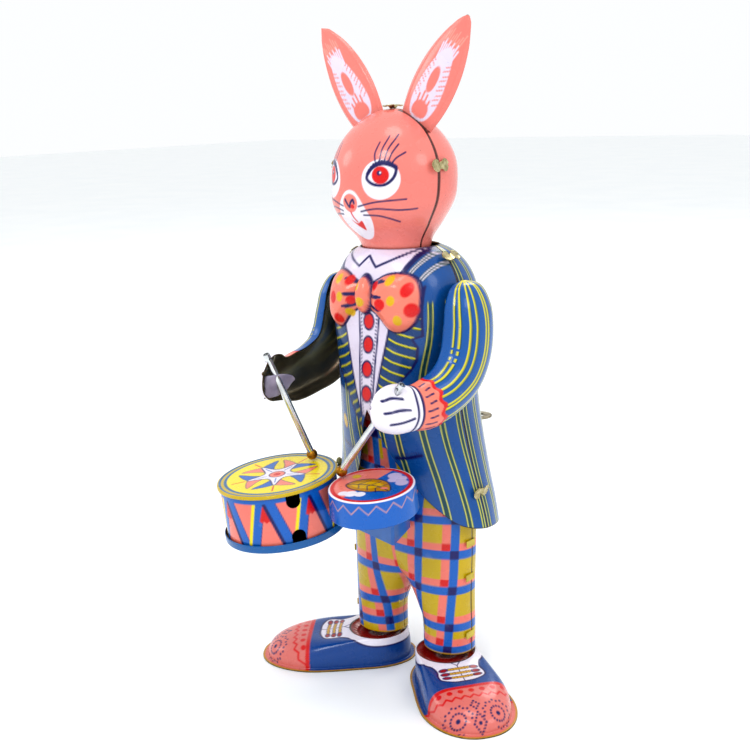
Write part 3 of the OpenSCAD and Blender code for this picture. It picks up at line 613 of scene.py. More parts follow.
def make_ears():
    rows, columns = 120, 62
    t = np.sin(np.linspace(0, math.pi / 2, rows))
    t, u = np.meshgrid(t, np.linspace(-1, 1, columns), indexing="ij")
    w = along(EAR, t)
    rib = 0.32 * np.exp(-((np.abs(u) - 0.87) * w / 0.5) ** 2) * smooth((0.97 - t) / 0.06)
    y = -1.3 * (1 - u * u) * np.sin(np.radians(t * 150 + 15)) + 1.1 * u ** 4 - rib
    grid = np.stack([u * w, y, t * EAR_L], axis=-1)
    for side, name in ((1, "left"), (-1, "right")):
        p = Print(u * w, t * EAR_L, "salmon")
        paint_ear(p, side)
        ear = pressing(name + "_ear_sheet", grid, p.rgb, [PRINTED, PRINTED, EDGE],
                       inside="salmon",
                       place=(ear_turn(side), (side * EAR_AT[0], EAR_AT[1], EAR_AT[2])))
        finish(ear, "head", "tin_salmon", name + "_ear")


# ---- Clips over the seams -----------------------------------------------------------------------
# Height of the side clips above the middle of the head, and the thickness of a clip
CLIP_Z = 6.2
CLIP_THICK = 0.32


def clip_parts():
    """Two round wings of one bent clip, lying in the XY plane with the seam along X."""
    grids = []
    for s in (-1, 1):
        y, u = np.meshgrid(np.linspace(0, 1, 22), np.linspace(-1, 1, 17), indexing="ij")
        wide = np.where(y < 0.5, 1.1 + 1.2 * smooth(y / 0.5),
                        2.3 * np.sqrt(np.clip(1 - ((y - 0.5) / 0.51) ** 2, 0.004, 1)))
        height = 0.35 + 1.1 * smooth(y / 0.25) * (1 - 0.5 * y) + 0.3 * u * u * y - 0.12 * u
        grid = np.stack([u * wide * s, s * (0.12 + 4.3 * y), height], axis=-1)
        grids.append(grid)
    return grids


def clip_piece(name, places, body, node):
    verts, faces = [], []
    count = 0
    for place in places:
        for grid in clip_parts():
            normals = facing(grid, False)
            flat = grid.reshape(-1, 3)
            skins = np.concatenate([flat, flat - CLIP_THICK * normals.reshape(-1, 3)])
            quads = cells(*grid.shape[:2], False)
            n = len(flat)
            faces.append(np.concatenate([quads, quads[:, ::-1] + n, edge_cells(quads, n)]) + count)
            verts.append(placed(skins, *place))
            count += 2 * n
    faces = np.concatenate(faces)
    piece = new_piece(name, np.concatenate(verts), faces, np.zeros(len(faces)),
                      np.ones(len(faces)), [CLIP])
    finish(piece, body, "bare_tin", node)


def make_clips():
    a = math.radians(-HEAD_SEAM)
    r = float(along(HEAD, CLIP_Z)) * HEAD_SCALE
    places = [(turn_matrix("Y", side * 80), (side * (r * math.cos(a) + 0.1) + HEAD_AT[0],
                                             r * math.sin(a) + HEAD_AT[1], CLIP_Z + HEAD_AT[2]))
              for side in (-1, 1)]
    places.append((NO_TURN, (HEAD_AT[0], HEAD_AT[1], HEAD_AT[2] + 26.3)))
    clip_piece("head_seam_clips", places, "head", "head_clips")
    wide = float(along(COAT, 80, 1)) + 0.2
    places = [(turn_matrix("Y", side * 38), (side * 21.5, SEAM_Y, 166.8)) for side in (-1, 1)]
    places += [(turn_matrix("Y", side * 107), (side * wide, SEAM_Y, 80)) for side in (-1, 1)]
    clip_piece("coat_seam_clips", places, "frame", "coat_clips")


# ---- Coat ---------------------------------------------------------------------------------------
SEAM_Y = 14.2
COLLAR_Z = 171
COAT = [[60, 37.8, 14, 29, 2], [72, 35.3, 14.6, 29.5, 2], [84, 31.8, 17, 30, 2],
        [98, 28, 21.4, 29.6, 2.1], [112, 25.2, 24.2, 29, 2.2], [126, 24.6, 24.4, 28, 2.3],
        [139, 26, 23.6, 27.4, 2.4], [150, 26, 23.3, 26.8, 2.5], [158, 24.8, 22.6, 25.4, 2.4],
        [164, 22.2, 21.5, 22, 2.3], [168.5, 18.6, 19.6, 16.8, 2.2], [171, 14.8, 17.4, 11.4, 2]]
FRONT_HEM = [[0, 112], [6, 105], [16, 92], [32, 77.5], [48, 70], [60, 67.4], [90, 66]]
BACK_HEM = [[0, 66], [30, 64.5], [60, 63.5], [90, 63]]
SHOULDER_Z = 150
KEY_Z = 97
HUB_HOLE_R = 3
KEY_HOLE_R = 4
EVEN_Z = 126
KNOT_AT = (0.5, 155.2)
KNOT_SIZE = (3.8, 7)
WING = [(2.4, 158), (6.2, 161.2), (10, 162.9), (15, 163.1), (18.8, 160.8), (20.6, 155.6),
        (20.6, 149.5), (18.8, 144.7), (14.6, 142), (10.6, 143), (6.4, 147.6), (2.4, 150.8)]
# Stripe pairs: distance from the middle line, measured at this height
STRIPE_Z = 101
FRONT_STRIPES = (5.4, 11.6, 21.6, 29.6, 37)
BACK_STRIPES = (5.5, 13, 20.5, 28, 35.5, 43)
PAIR_GAP = 1.8
# The outer front pairs lean away from the middle by so many columns, from this height upwards
LEAN, LEAN_FROM, LEAN_OVER = 12, 98, 54
HUB_HOLES = [((0, SEAM_Y, SHOULDER_Z), (side, 0, 0), HUB_HOLE_R) for side in (1, -1)]


def coat_section(a, z):
    """Points of the coat at angles (degrees) and heights."""
    n = along(COAT, z, 4)
    deep = np.where(a < 0, along(COAT, z, 2), along(COAT, z, 3))
    c, s = np.cos(np.radians(a)), np.sin(np.radians(a))
    return np.stack([along(COAT, z, 1) * rounded(c, n), deep * rounded(s, n) + SEAM_Y, z], axis=-1)


def coat_grid(start, end, columns, rows, hem):
    a = even_angles(lambda t: coat_section(t, np.full(len(t), EVEN_Z)), start, end, columns)
    low = hem(a)
    t, column = np.meshgrid(np.linspace(0, 1, rows), np.arange(columns), indexing="ij")
    z = mix(low[column], COLLAR_Z, t)
    grid = coat_section(a[column], z)
    heights = np.arange(60, 172.0)
    arcs = arc_lengths(coat_section, a, heights)
    middle = np.array([np.interp((start + end) / 2, a, row) for row in arcs])
    arcs = arcs - middle[:, None]
    there = arcs[int(STRIPE_Z - heights[0])]
    return grid, z, by_height(arcs, heights, z), there


def paint_stripes(p, s, there, places, lean=None):
    """Pairs of thin yellow lines with dark green edges, which spread with the cloth.

    s is the distance along the cloth from its middle, and there is the same at one height only.
    Each line follows a column of the grid, so that it stays even, or leaves it outwards by lean
    columns.
    """
    lean = np.zeros(len(s)) if lean is None else lean
    for place in places:
        for side in (-1, 1):
            lines = [int(np.argmin(abs(there - side * place - gap)))
                     for gap in (-PAIR_GAP / 2, PAIR_GAP / 2)]
            if min(lines) < 3 or max(lines) > len(there) - 4:
                continue
            left, right = (
                np.array([[np.interp(j + side * shift, np.arange(len(there)), row)]
                          for row, shift in zip(s, lean)]) for j in lines)
            p.lay(np.maximum(left - 0.45 - s, s - right - 0.45), "green", strength=0.75)
            for line in (left, right):
                p.lay(abs(s - line) - 0.22, "straw")


def lapel(side):
    outline = [(10.9, 147), (2.9, 112), (3.6, 104), (5.8, 109), (8.5, 115.6), (11.4, 120.8),
               (14.4, 124.4), (17.2, 128), (18.9, 131.6), (19.4, 136.4), (18, 139.6), (20.8, 140.6),
               (20.8, 150), (18, 152)]
    return [(side * x, z) for x, z in outline]


def paint_coat_front(p, x, z):
    sheet = p.on(x, z)
    edge = [(20.8, 158.2), (20.9, 140.6), (18, 139.6), (19.4, 136.4), (18.9, 131.6), (17.2, 128),
            (14.4, 124.4), (11.4, 120.8), (8.5, 115.6), (5.8, 109), (3.6, 104)]
    for side in (-1, 1):
        shape = lapel(side)
        sheet.shape(shape, "lapel")
        flap = sheet.only(sheet.inside(shape))
        for k in range(13):
            top = 150.5 - 3.5 * k
            start = 3 + (top - 112) * 0.227
            for drop, width, ink in ((-0.35, 0.55, "green"), (0, 0.55, "yellow")):
                flap.line([(side * start, top + drop), (side * (start + 3.5), top - 1.9 + drop),
                           (side * 21, top - 0.4 * (21 - start) + drop)], width, ink)
        sheet.line([(side * u, v) for u, v in edge], 0.75, "navy")
    shirt = [(15.4, 171.4), (15.2, 167.6), (13.9, 164.2), (12, 160), (11.2, 147), (3.2, 112),
             (0, 108)]
    shirt = shirt + mirrored(shirt[-2::-1])
    sheet.shape(shirt, "shirt", "navy", 0.8)
    for side in (-1, 1):
        neck = [(side * u, v)
                for u, v in ((15.8, 171.4), (15.7, 167.4), (14.4, 164), (12.9, 160.5))]
        sheet.line(curve(neck, closed=False), 1.7, "navy")
        for away in (1.7, 2.5, 5.6, 6.4):
            line = [(u + side * away * (1 + 0.03 * i), v) for i, (u, v) in enumerate(neck)]
            sheet.line(curve(line, closed=False), 0.8, "green")
            sheet.line(curve(line, closed=False), 0.34, "shirt")
        collar = [(0.2, 168.6), (3.9, 165), (8.4, 167.1), (12, 169), (14.9, 171.2)]
        sheet.line([(side * u, v) for u, v in collar], 0.9, "navy")


def paint_placket(p, x, z):
    """The buttoned strip down the shirt, which narrows towards the waist."""
    middle = 0.3 + 0.055 * (z - 118)
    half = 2.7 + 0.05 * (z - 112)
    strip = p.on(x - middle, z).only((z < 150.5) & (z > 109.5))
    strip.lay(abs(x - middle) - half, "shirt")
    strip.lay(abs(abs(x - middle) - half) - 0.36, "navy")
    for k in range(30):
        height = 149 - 1.35 * k
        for side in (-1, 1):
            strip.dot((side * (2.7 + 0.05 * (height - 112) - 0.95), height), 0.36, "navy")
    for height in (145.4, 136.8, 127.6, 118.2):
        strip.oval((0, height), 2.3, 3.05, "red", edge="navy", width=0.6)
        strip.oval((-0.7, height + 0.9), 0.5, 0.9, "crimson")


def paint_bow(p, x, z):
    sheet = p.on(x, z)
    for side in (-1, 1):
        outline = curve([(side * u, v) for u, v in WING])
        sheet.shape(outline, "rose", "navy", 0.75)
        for u, v in ((3.4, 159.4), (3.2, 155.2), (3.4, 151.6)):
            lift = (v - 155.2) * 0.28
            start = u + (1.4 if side > 0 else 0)
            for reach, width in ((3.7, 1.4), (4.9, 0.9)):
                sheet.line([(side * start, v), (side * (start + reach), v + lift)], width, "navy")
    left = ((-11.4, 160.2, 1.7, "amber"), (-9.6, 154, 1.8, "amber"), (-6.2, 148.2, 1.7, "amber"),
            (-13.6, 153.4, 2.3, "red"), (-6.4, 160, 1.7, "red"), (-4.9, 153, 1.6, "red"),
            (-11.2, 145.8, 2, "red"))
    right = ((17.6, 157.6, 2.5, "red"), (19, 150.4, 2.6, "red"), (9.3, 152.5, 2.1, "red"),
             (6, 158.8, 1.6, "red"), (11.8, 160.9, 1.7, "amber"), (13.4, 154, 1.8, "amber"),
             (15.6, 147, 1.9, "amber"))
    for u, v, r, ink in left + right:
        sheet.oval((u, v), r * (1 - 0.42 * float(smooth((abs(u) - 9) / 9))), r, ink)
    sheet.oval(KNOT_AT, *KNOT_SIZE, "rose", edge="navy", width=0.7)
    sheet.dot((-1.6, 158.3), 1.45, "amber")
    sheet.dot((0.7, 153), 1.75, "amber")


def bow_relief(p, x, z):
    """How far the bow tie stands out of the coat."""
    sheet = p.on(x, z)
    out = np.zeros(x.shape)
    for side in (-1, 1):
        deep = sheet.depth(curve([(side * u, v) for u, v in WING]))
        out = np.maximum(out, 0.5 * smooth(deep / 0.5) + 3.6 * np.sqrt(smooth(deep / 5)))
    knot = 1 - ((x - KNOT_AT[0]) / KNOT_SIZE[0]) ** 2 - ((z - KNOT_AT[1]) / KNOT_SIZE[1]) ** 2
    pinch = smooth((np.abs(x) - 3) / 5)
    return np.maximum(out * (0.55 + 0.45 * pinch), 4.6 * np.sqrt(np.clip(knot, 0, 1)))


def make_coat_front():
    def hem(a):
        return along(FRONT_HEM, np.abs(a + 90))
    grid, z, s, there = coat_grid(-180, 0, 205, 215, hem)
    x = grid[..., 0].copy()
    p = Print(s, z, "blue")
    paint_stripes(p.only(smooth((131 - z) / 8)), s, there, FRONT_STRIPES[:2])
    lean = LEAN * smooth((z[:, 0] - LEAN_FROM) / LEAN_OVER)
    paint_stripes(p.only(smooth((153.5 - z) / 2)), s, there, FRONT_STRIPES[2:], lean)
    paint_coat_front(p, x, z)
    paint_placket(p, x, z)
    paint_bow(p, x, z)
    sheet = p.on(x, z)
    sheet.oval((-14.7, 104.8), 1.7, 3.1, "amber", edge="navy", width=0.35)
    for side in (-1, 1):
        pocket = [(side * 9.2, 93.6), (side * 13.6, 94), (side * 18.6, 95.4)]
        sheet.line(pocket, 1.2, "navy")
        for k in range(12):
            u = side * (9.4 + 0.85 * k)
            v = 93.7 + 0.16 * k
            sheet.line([(u, v - 1), (u, v + 1.4)], 0.26, "navy")
    sheet.line([(3.6, 104.2), (7.6, 105.3)], 0.8, "navy")
    grid[..., 1] -= bow_relief(p, x, z)
    seam_shade_line(p)
    p.rgb[0] = INK["seam"]
    piece = pressing("coat_front_shell", grid, p.rgb, TIN_SHEET, holes=HUB_HOLES,
                     place=(NO_TURN, (0, -SEAM_GAP / 2, 0)))
    finish(piece, "frame", "tin_blue", "coat_front")


def make_coat_back():
    def hem(a):
        return along(BACK_HEM, 90 - np.abs(a - 90))
    grid, z, s, there = coat_grid(0, 180, 190, 215, hem)
    p = Print(s, z, "blue")
    paint_stripes(p, s, there, BACK_STRIPES)
    p.line([(0, 62), (0, 92)], 0.7, "navy")
    for side in (-1, 1):
        p.line([(0, 118.6), (side * 9, 118.2), (side * 17, 117)], 0.8, "navy")
        p.line([(0, 112.8), (side * 9, 112.4), (side * 17, 111.2)], 0.8, "navy")
        p.oval((side * 12.6, 114.8), 1.9, 1.9, "amber", edge="navy", width=0.4)
    seam_shade_line(p)
    p.rgb[0] = INK["seam"]
    piece = pressing("coat_back_shell", grid, p.rgb, TIN_SHEET,
                     holes=HUB_HOLES + [((0, 30, KEY_Z), (0, 1, 0), KEY_HOLE_R)],
                     place=(NO_TURN, (0, SEAM_GAP / 2, 0)))
    finish(piece, "frame", "tin_blue", "coat_back")


# ---- Trousers -----------------------------------------------------------------------------------
LEG_Y = 16
HEM_Z = 12.5
TROUSERS = [[10, 16.8, 10.4, 9.8, 8], [24, 16.8, 10.6, 10, 8.5], [29.5, 15.8, 11.5, 10.6, 9],
            [34.5, 14.6, 12.7, 11, 9.6], [39, 13.1, 14.3, 11.4, 10.1], [46, 9, 18.8, 11.8, 11],
            [58, 3, 25.2, 12.8, 13],
            [72, 0.6, 27.2, 14.4, 15], [90, 0.2, 24, 17, 17], [114, 0.2, 21, 19.6, 18]]
CHECK_LINE = [[10, 21.4], [17, 22.1], [40, 24.1], [54, 24.8], [68, 25.5], [114, 26.5]]
CHECK_ACROSS = 14.6
CHECK_HEIGHTS = (14.2, 23.8, 39.2, 53.8, 68, 82.4, 97, 111.5)
BAND = 3.4
RIGHT_LIFT = 3.4


def trouser_side(deep_column, sign, rows, columns, top):
    """One leg's half and its share of the hips, at x >= 0, from the middle to the outer seam."""
    z = np.linspace(HEM_Z, top, rows)
    middle, wide, deep = (along(TROUSERS, z, k) for k in (1, 2, deep_column))
    start = np.where(middle > wide, 0, np.arccos(np.clip(middle / wide, 0, 1)))
    t = np.linspace(0, 1, columns)
    a = start[:, None] + (math.pi - start[:, None]) * t[None, :]
    x = middle[:, None] - wide[:, None] * np.cos(a)
    y = LEG_Y + sign * deep[:, None] * np.clip(np.sin(a), 0, 1) ** 0.9
    grid = np.stack([x, y, np.repeat(z[:, None], columns, 1)], axis=-1)
    steps = np.linalg.norm(np.diff(grid, axis=1), axis=2)
    arc = np.concatenate([np.zeros((rows, 1)), np.cumsum(steps, axis=1)], axis=1)
    line = along(CHECK_LINE, z)
    origin = np.array([np.interp(line[i], x[i], arc[i]) for i in range(rows)])
    return grid, arc - origin[:, None], middle - wide <= 0


def paint_check(p, u, z, pink_side):
    """Tartan of blue and pink bands on olive yellow, higher on the right leg."""
    z = z - (RIGHT_LIFT if pink_side > 0 else 0)

    def from_band(value, period):
        return value - period * np.round(value / period)
    nearest = np.array(CHECK_HEIGHTS)[np.argmin(abs(z[..., None] - CHECK_HEIGHTS), axis=-1)]
    above = np.array(CHECK_HEIGHTS)[np.argmin(abs(z[..., None] - 3.2 - CHECK_HEIGHTS), axis=-1)]
    blue_v = abs(from_band(u, CHECK_ACROSS)) - BAND / 2
    pink_v = abs(from_band(u - pink_side * 3.4, CHECK_ACROSS)) - 1.65
    blue_h = abs(z - nearest) - BAND / 2
    pink_h = abs(z - above - 3.2) - 1.5
    for field, ink in ((pink_h, "pink"), (pink_v, "pink"), (np.maximum(pink_h, pink_v), "crimson"),
                       (blue_h, "sky"), (blue_v, "sky"), (np.maximum(blue_h, blue_v), "indigo")):
        p.lay(field, ink)


def make_trousers(name, node, deep_column, sign, top, rows, columns):
    grid, u, joined = trouser_side(deep_column, sign, rows, columns, top)
    count = rows * columns
    flip = np.array([-1, 1, 1])
    normals = facing(grid, False)
    if sign > 0:
        normals = -normals
    normals[joined, 0, 0] = 0
    normals /= np.linalg.norm(normals, axis=2, keepdims=True)
    inks = []
    for side in (1, -1):
        p = Print(u, grid[..., 2], "olive")
        paint_check(p, u, grid[..., 2], -side)
        p.lay(grid[..., 2] - HEM_Z - 0.5, "amber")
        # Dark last column along the outer seam: painted shade of the narrow gap between the shells,
        # over the tin's bare edge
        p.rgb[:, -1] = INK["seam"]
        inks.append(p.rgb.reshape(-1, 3))
    left = cells(rows, columns, False)
    right = left[:, ::-1] + count
    if sign > 0:
        left, right = left[:, ::-1], right[:, ::-1]
    quads = np.concatenate([left, right])
    weld = np.arange(2 * count)
    middle = np.arange(rows)[joined] * columns
    weld[middle + count] = middle
    points = np.concatenate([grid.reshape(-1, 3), (grid * flip).reshape(-1, 3)])
    facing_out = np.concatenate([normals.reshape(-1, 3), (normals * flip).reshape(-1, 3)])
    piece = two_skins(name, points, facing_out, weld[quads], np.concatenate(inks), TIN_SHEET,
                      place=(NO_TURN, (0, sign * SEAM_GAP / 2, 0)))
    finish(piece, "frame", "tin_plaid", node)


# ---- Shoes --------------------------------------------------------------------------------------
SHOE_AT = (17.2, 12.4, 0)
SPLAY = 54
SHOE_TOE, SHOE_HEEL = 48.6, 15.4
FLANGE_W = 2.2
RIM_R, RIM_H, SEAT_R, SEAT_HOLE_R = 11.6, 11.5, 7.8, 1.6
SHOE_WIDTH = [[-14, 15], [-4, 15], [8, 14.4], [18, 15.4], [28, 17], [38, 17.6], [48, 17.4]]
CAP_FROM = 27.4


def shoe_grid(columns):
    """The shoe's points, with their place t on the way from the edge of the flange (-1) over wall
    (0 to 1), rim (2) and seat (4), their direction and distance from the ankle in plan, and the
    length of tin between them and the rim."""
    wall = 1 - (1 - np.linspace(0, 1, 76)) ** 1.6
    t = np.concatenate([[-1, -0.8, -0.5, -0.2], wall, np.linspace(1, 2, 28)[1:],
                        np.linspace(2, 3, 12)[1:], [3.4, 4]])
    t, a = np.meshgrid(t, np.linspace(0, 2 * math.pi, columns, endpoint=False), indexing="ij")
    half = (SHOE_TOE + SHOE_HEEL) / 2 - FLANGE_W
    u = (SHOE_TOE - SHOE_HEEL) / 2 + half * np.cos(a)
    v = along(SHOE_WIDTH, u) * rounded(np.sin(a), 2.35)
    away = np.stack([np.cos(a) * 0.75, np.sin(a)], axis=-1)
    away /= np.linalg.norm(away, axis=-1, keepdims=True)
    far = np.hypot(u, v)
    d = np.stack([u, v], axis=-1) / far[..., None]
    toe = np.clip(d[..., 0], 0, 1) ** 3
    crest = RIM_R + 0.4 + 10.5 * toe
    top = RIM_H - 1.5 * toe
    full = mix(1, 0.75, toe)
    q = np.pi / 2 * np.clip(t, 0, 1)
    wall_r = mix(crest, far, np.cos(q).clip(0) ** full)
    wall_z = TIN + (top - TIN) * np.sin(q) ** ((1 + full) / 2)
    top_r = mix(crest, RIM_R, t - 1)
    top_z = mix(top, RIM_H, smooth(t - 1))
    seat_r = np.where(t <= 3, mix(RIM_R, SEAT_R, t - 2), mix(SEAT_R, SEAT_HOLE_R, t - 3))
    seat_z = RIM_H - 2 * np.clip(t - 2, 0, 1) ** 0.6
    r = np.select([t <= 1, t <= 2], [wall_r, top_r], seat_r)
    z = np.select([t <= 1, t <= 2], [wall_z, top_z], seat_z)
    plan = d * r[..., None]
    out = np.stack([u, v], axis=-1) + np.clip(-t, 0, 1)[..., None] * FLANGE_W * away
    plan = np.where((t < 0)[..., None], out, plan)
    z = np.where(t < 0, TIN, z)
    grid = np.concatenate([plan, z[..., None]], axis=-1)
    steps = np.linalg.norm(np.diff(grid, axis=0), axis=2)
    down = np.concatenate([np.cumsum(steps[::-1], axis=0)[::-1], np.zeros((1, columns))])
    rim = np.argmin(abs(t[:, 0] - 2))
    return grid, t, d, r, down - down[rim]


def paint_toe(p):
    """Punched-looking toe cap: dots, a zigzag, two spirals and a diamond of small dots."""
    for k in range(-4, 5):
        p.dot((31 - 0.06 * k * k, 4.2 * k), 1.1, "crimson")
    zigzag = [(33.6 + (1.5 if k % 2 else 0) - 0.012 * k * k, 1.75 * k) for k in range(-11, 12)]
    p.line(zigzag, 0.8, "crimson")
    for side in (-1, 1):
        centre = np.array([43.5, side * 7.8 - 1.4])
        p.dot(centre, 0.85, "navy")
        for turn, radius, start in ((16, 2.9, 0), (24, 5.2, 0.4)):
            for k in range(turn):
                a = start + 2 * math.pi * k / turn
                stretch = radius * (1 + (0.12 if turn == 24 and k % 2 else 0))
                if turn == 24 and side * math.sin(a) < -0.3 and math.cos(a) > 0.2:
                    continue
                p.dot(centre + stretch * np.array([math.cos(a), math.sin(a)]), 0.44, "navy")
    p.dot((46.6, -1.4), 0.7, "navy")
    for height, wide, middle, count in ((4.2, 2.3, 46.6, 4), (1.9, 1.5, 39, 2)):
        for side in (-1, 1):
            for k in range(count + 1):
                t = k / count
                p.dot((middle - height * (1 - t), side * wide * t - 1.4), 0.42, "navy")
                p.dot((middle + height * (1 - t), side * wide * t - 1.4), 0.42, "navy")


def paint_shoe(p, plan, flat, r, t):
    edge_band = (t < -0.72).astype(float)
    cap = p.on(plan[..., 0], plan[..., 1])
    toe = cap.only((t <= 1.9).astype(float))
    # The toe cap takes the deeper cap ink: painted shade on the toe
    toe.lay(CAP_FROM - plan[..., 0], "cap")
    paint_toe(p.on(flat[..., 0], flat[..., 1]).only((plan[..., 0] > CAP_FROM).astype(float)))
    toe.lay(abs(plan[..., 0] - CAP_FROM - 0.8) - 0.8, "crimson")
    ring = p.on(flat[..., 0], flat[..., 1]).only((t <= 2.0).astype(float))
    half = [(8.5, 12), (12.4, 9.6), (16, 8.6), (19.5, 9.2), (22.2, 8.4), (24, 4.2)]
    tongue = curve([(0, 8)] + half + [(24.2, 0)] + [(u, -v) for u, v in half[::-1]] + [(0, -8)])
    collar = np.hypot(flat[..., 0], flat[..., 1]) - 15.2
    reach = path_distance(flat[..., 0], flat[..., 1], tongue, True)
    in_tongue = inside_path(flat[..., 0], flat[..., 1], tongue)
    blend = np.minimum(collar, np.where(in_tongue, -reach, reach))
    ring.lay(blend, "white")
    ring.lay(abs(blend) - 0.36, "navy")
    ring.line([(11.9, -1.8), (14.2, 0), (11.9, 1.8)], 0.42, "navy")
    ring.line([(14.2, 0), (24.2, 0)], 0.34, "navy")
    for u in (15.8, 18.3, 20.8):
        ring.line([(u, -5), (u + 0.25, 0), (u, 5)], 1.5, "navy")
        ring.line([(u, -5), (u + 0.25, 0), (u, 5)], 0.95, "amber")
        for k in range(-4, 5):
            ring.line([(u - 0.4, 1.1 * k), (u + 0.5, 1.1 * k + 0.3)], 0.2, "brick")
        for side in (-1, 1):
            ring.oval((u, side * 6.1), 0.95, 1.6, "brick", edge="navy", width=0.35)
    seat = p.only((t > 2.0).astype(float))
    seat.lay(r * 0 - 1, "brick")
    for k in range(7):
        a = math.radians(-36 + 12 * k)
        tip = np.array([math.cos(a), math.sin(a)])
        side = np.array([-tip[1], tip[0]])
        triangle = [tip * 10.4, tip * 9.1 + side * 0.62, tip * 9.1 - side * 0.62]
        p.on(plan[..., 0], plan[..., 1]).only((t > 2.05).astype(float)).shape(triangle, "blush")
    p.only(edge_band).lay(r * 0 - 1, "gold")
    p.only((abs(t - 2) < 0.04).astype(float)).lay(r * 0 - 1, "seam")


def make_shoes():
    grid, t, d, r, beyond = shoe_grid(372)
    flat = d * (RIM_R + np.maximum(beyond, r - RIM_R))[..., None]
    for side, name in ((1, "left"), (-1, "right")):
        # The shoe's ground takes the deeper shoe ink: painted shade on the shoe
        p = Print(grid[..., 0], grid[..., 1], "shoe")
        paint_shoe(p, grid[..., :2], flat, r, t)
        place = (turn_matrix("Z", side * SPLAY - 90), (side * SHOE_AT[0], SHOE_AT[1], SHOE_AT[2]))
        shoe = pressing(name + "_shoe_pressing", grid, p.rgb, TIN_SHEET, wrap=True, place=place)
        finish(shoe, "frame", "tin_shoe", name + "_shoe")


# ---- Drums --------------------------------------------------------------------------------------
BIG_AT, BIG_SLOPE, BIG_R, BIG_H = (-25.5, -33.2, 88.7), (0.061, 0.091), 22.8, 21.4
SMALL_AT, SMALL_SLOPE, SMALL_R, SMALL_H = (13, -24.2, 89.4), (0.008, 0.105), 15.8, 10
NOTCH_TURN = -32
NOTCH_R = 2.6
SHELL_R = BIG_R - 0.9


def drum_place(at, slope):
    turn = turn_matrix("Y", -math.degrees(math.atan(slope[0])))
    return turn @ turn_matrix("X", math.degrees(math.atan(slope[1]))), at


def turned(path, columns):
    """Grid of a turned shape from points (radius, height), and the angle of each grid point."""
    path = np.array(path, float)
    a = np.linspace(0, 2 * math.pi, columns, endpoint=False)
    grid = np.stack([np.outer(path[:, 0], np.cos(a)), np.outer(path[:, 0], np.sin(a)),
                     np.repeat(path[:, 1:2], columns, 1)], axis=-1)
    return grid, np.tile(a, (len(path), 1))


def run(start, end, count):
    """Points on a straight line, without its last one."""
    start, end = np.array(start, float), np.array(end, float)
    return [tuple(mix(start, end, k / count)) for k in range(count)]


def petals(centre, inner, outer, count, start=0.0, squash=1.0):
    """A flower's outline."""
    points = []
    for k in range(2 * count):
        a = math.radians(start) + math.pi * k / count
        r = outer if k % 2 == 0 else inner
        points.append((centre[0] + r * math.cos(a), centre[1] + squash * r * math.sin(a)))
    return curve(points)


def paint_big_head(p, r):
    for near, far, ink in ((22.1, 30, "olive"), (21.2, 22.1, "teal"), (20.2, 21.2, "olive"),
                           (19, 20.2, "teal")):
        p.lay(np.maximum(near - r, r - far), ink)
    for k in range(5):
        a = math.radians(20 + 72 * k)
        c, s = math.cos(a), math.sin(a)
        for bend, ink in ((-0.42, "sky"), (0.42, "rose")):
            cc, ss = math.cos(a + bend), math.sin(a + bend)
            p.shape(curve([(4 * c, 4 * s), (9.5 * cc, 9.5 * ss), (15.4 * math.cos(a + bend * 1.3),
                           15.4 * math.sin(a + bend * 1.3)), (11 * c, 11 * s)]), ink, "navy", 0.3)
        p.line([(12.5 * c, 12.5 * s), (17.2 * c, 17.2 * s)], 0.55, "crimson")
    p.shape(petals((0, 0), 5.2, 11.6, 5, 20), "white", "navy", 0.5)
    for k in range(5):
        a = math.radians(20 + 72 * k)
        p.line([(4.2 * math.cos(a), 4.2 * math.sin(a)), (8.6 * math.cos(a), 8.6 * math.sin(a))], 0.4,
               "sky")
    p.oval((0, 0), 3, 3, "rose", edge="navy", width=0.4)
    p.dot((0, 0), 1.3, "crimson")


def paint_big_side(p, angle, z):
    """Slanted bands in pairs, with tassels in the triangles that stand on the tray."""
    per_degree = SHELL_R * math.pi / 180
    top, bottom = -2.2, 2.6 - BIG_H
    sheet = p.on(angle * per_degree, z)
    wide = 3.5
    for k in range(-1, 9):
        first = 45 * k - 57
        down = [((first + 1) * per_degree, top), ((first + 15.5) * per_degree, bottom)]
        up = [((first + 26.5) * per_degree, bottom), ((first + 37.5) * per_degree, top)]
        apex = (first - 3) * per_degree
        fringe = [(apex - 2.6, -9.6), (apex - 1.7, -10.4), (apex - 0.9, -9.8), (apex, -10.6),
                  (apex + 0.9, -9.8), (apex + 1.8, -10.4), (apex + 2.8, -9.6), (apex + 0.6, -3.2),
                  (apex - 0.5, -3.2)]
        sheet.shape(fringe, "crimson")
        for band, edge_ink in ((down, "navy"), (up, "lemon")):
            sheet.line(band, wide + 1.0, "navy")
            sheet.line(band, wide + 0.5, "sky")
            shift = [(u - wide / 2 - 0.3, v) for u, v in band]
            sheet.line(shift, 1.25, edge_ink)


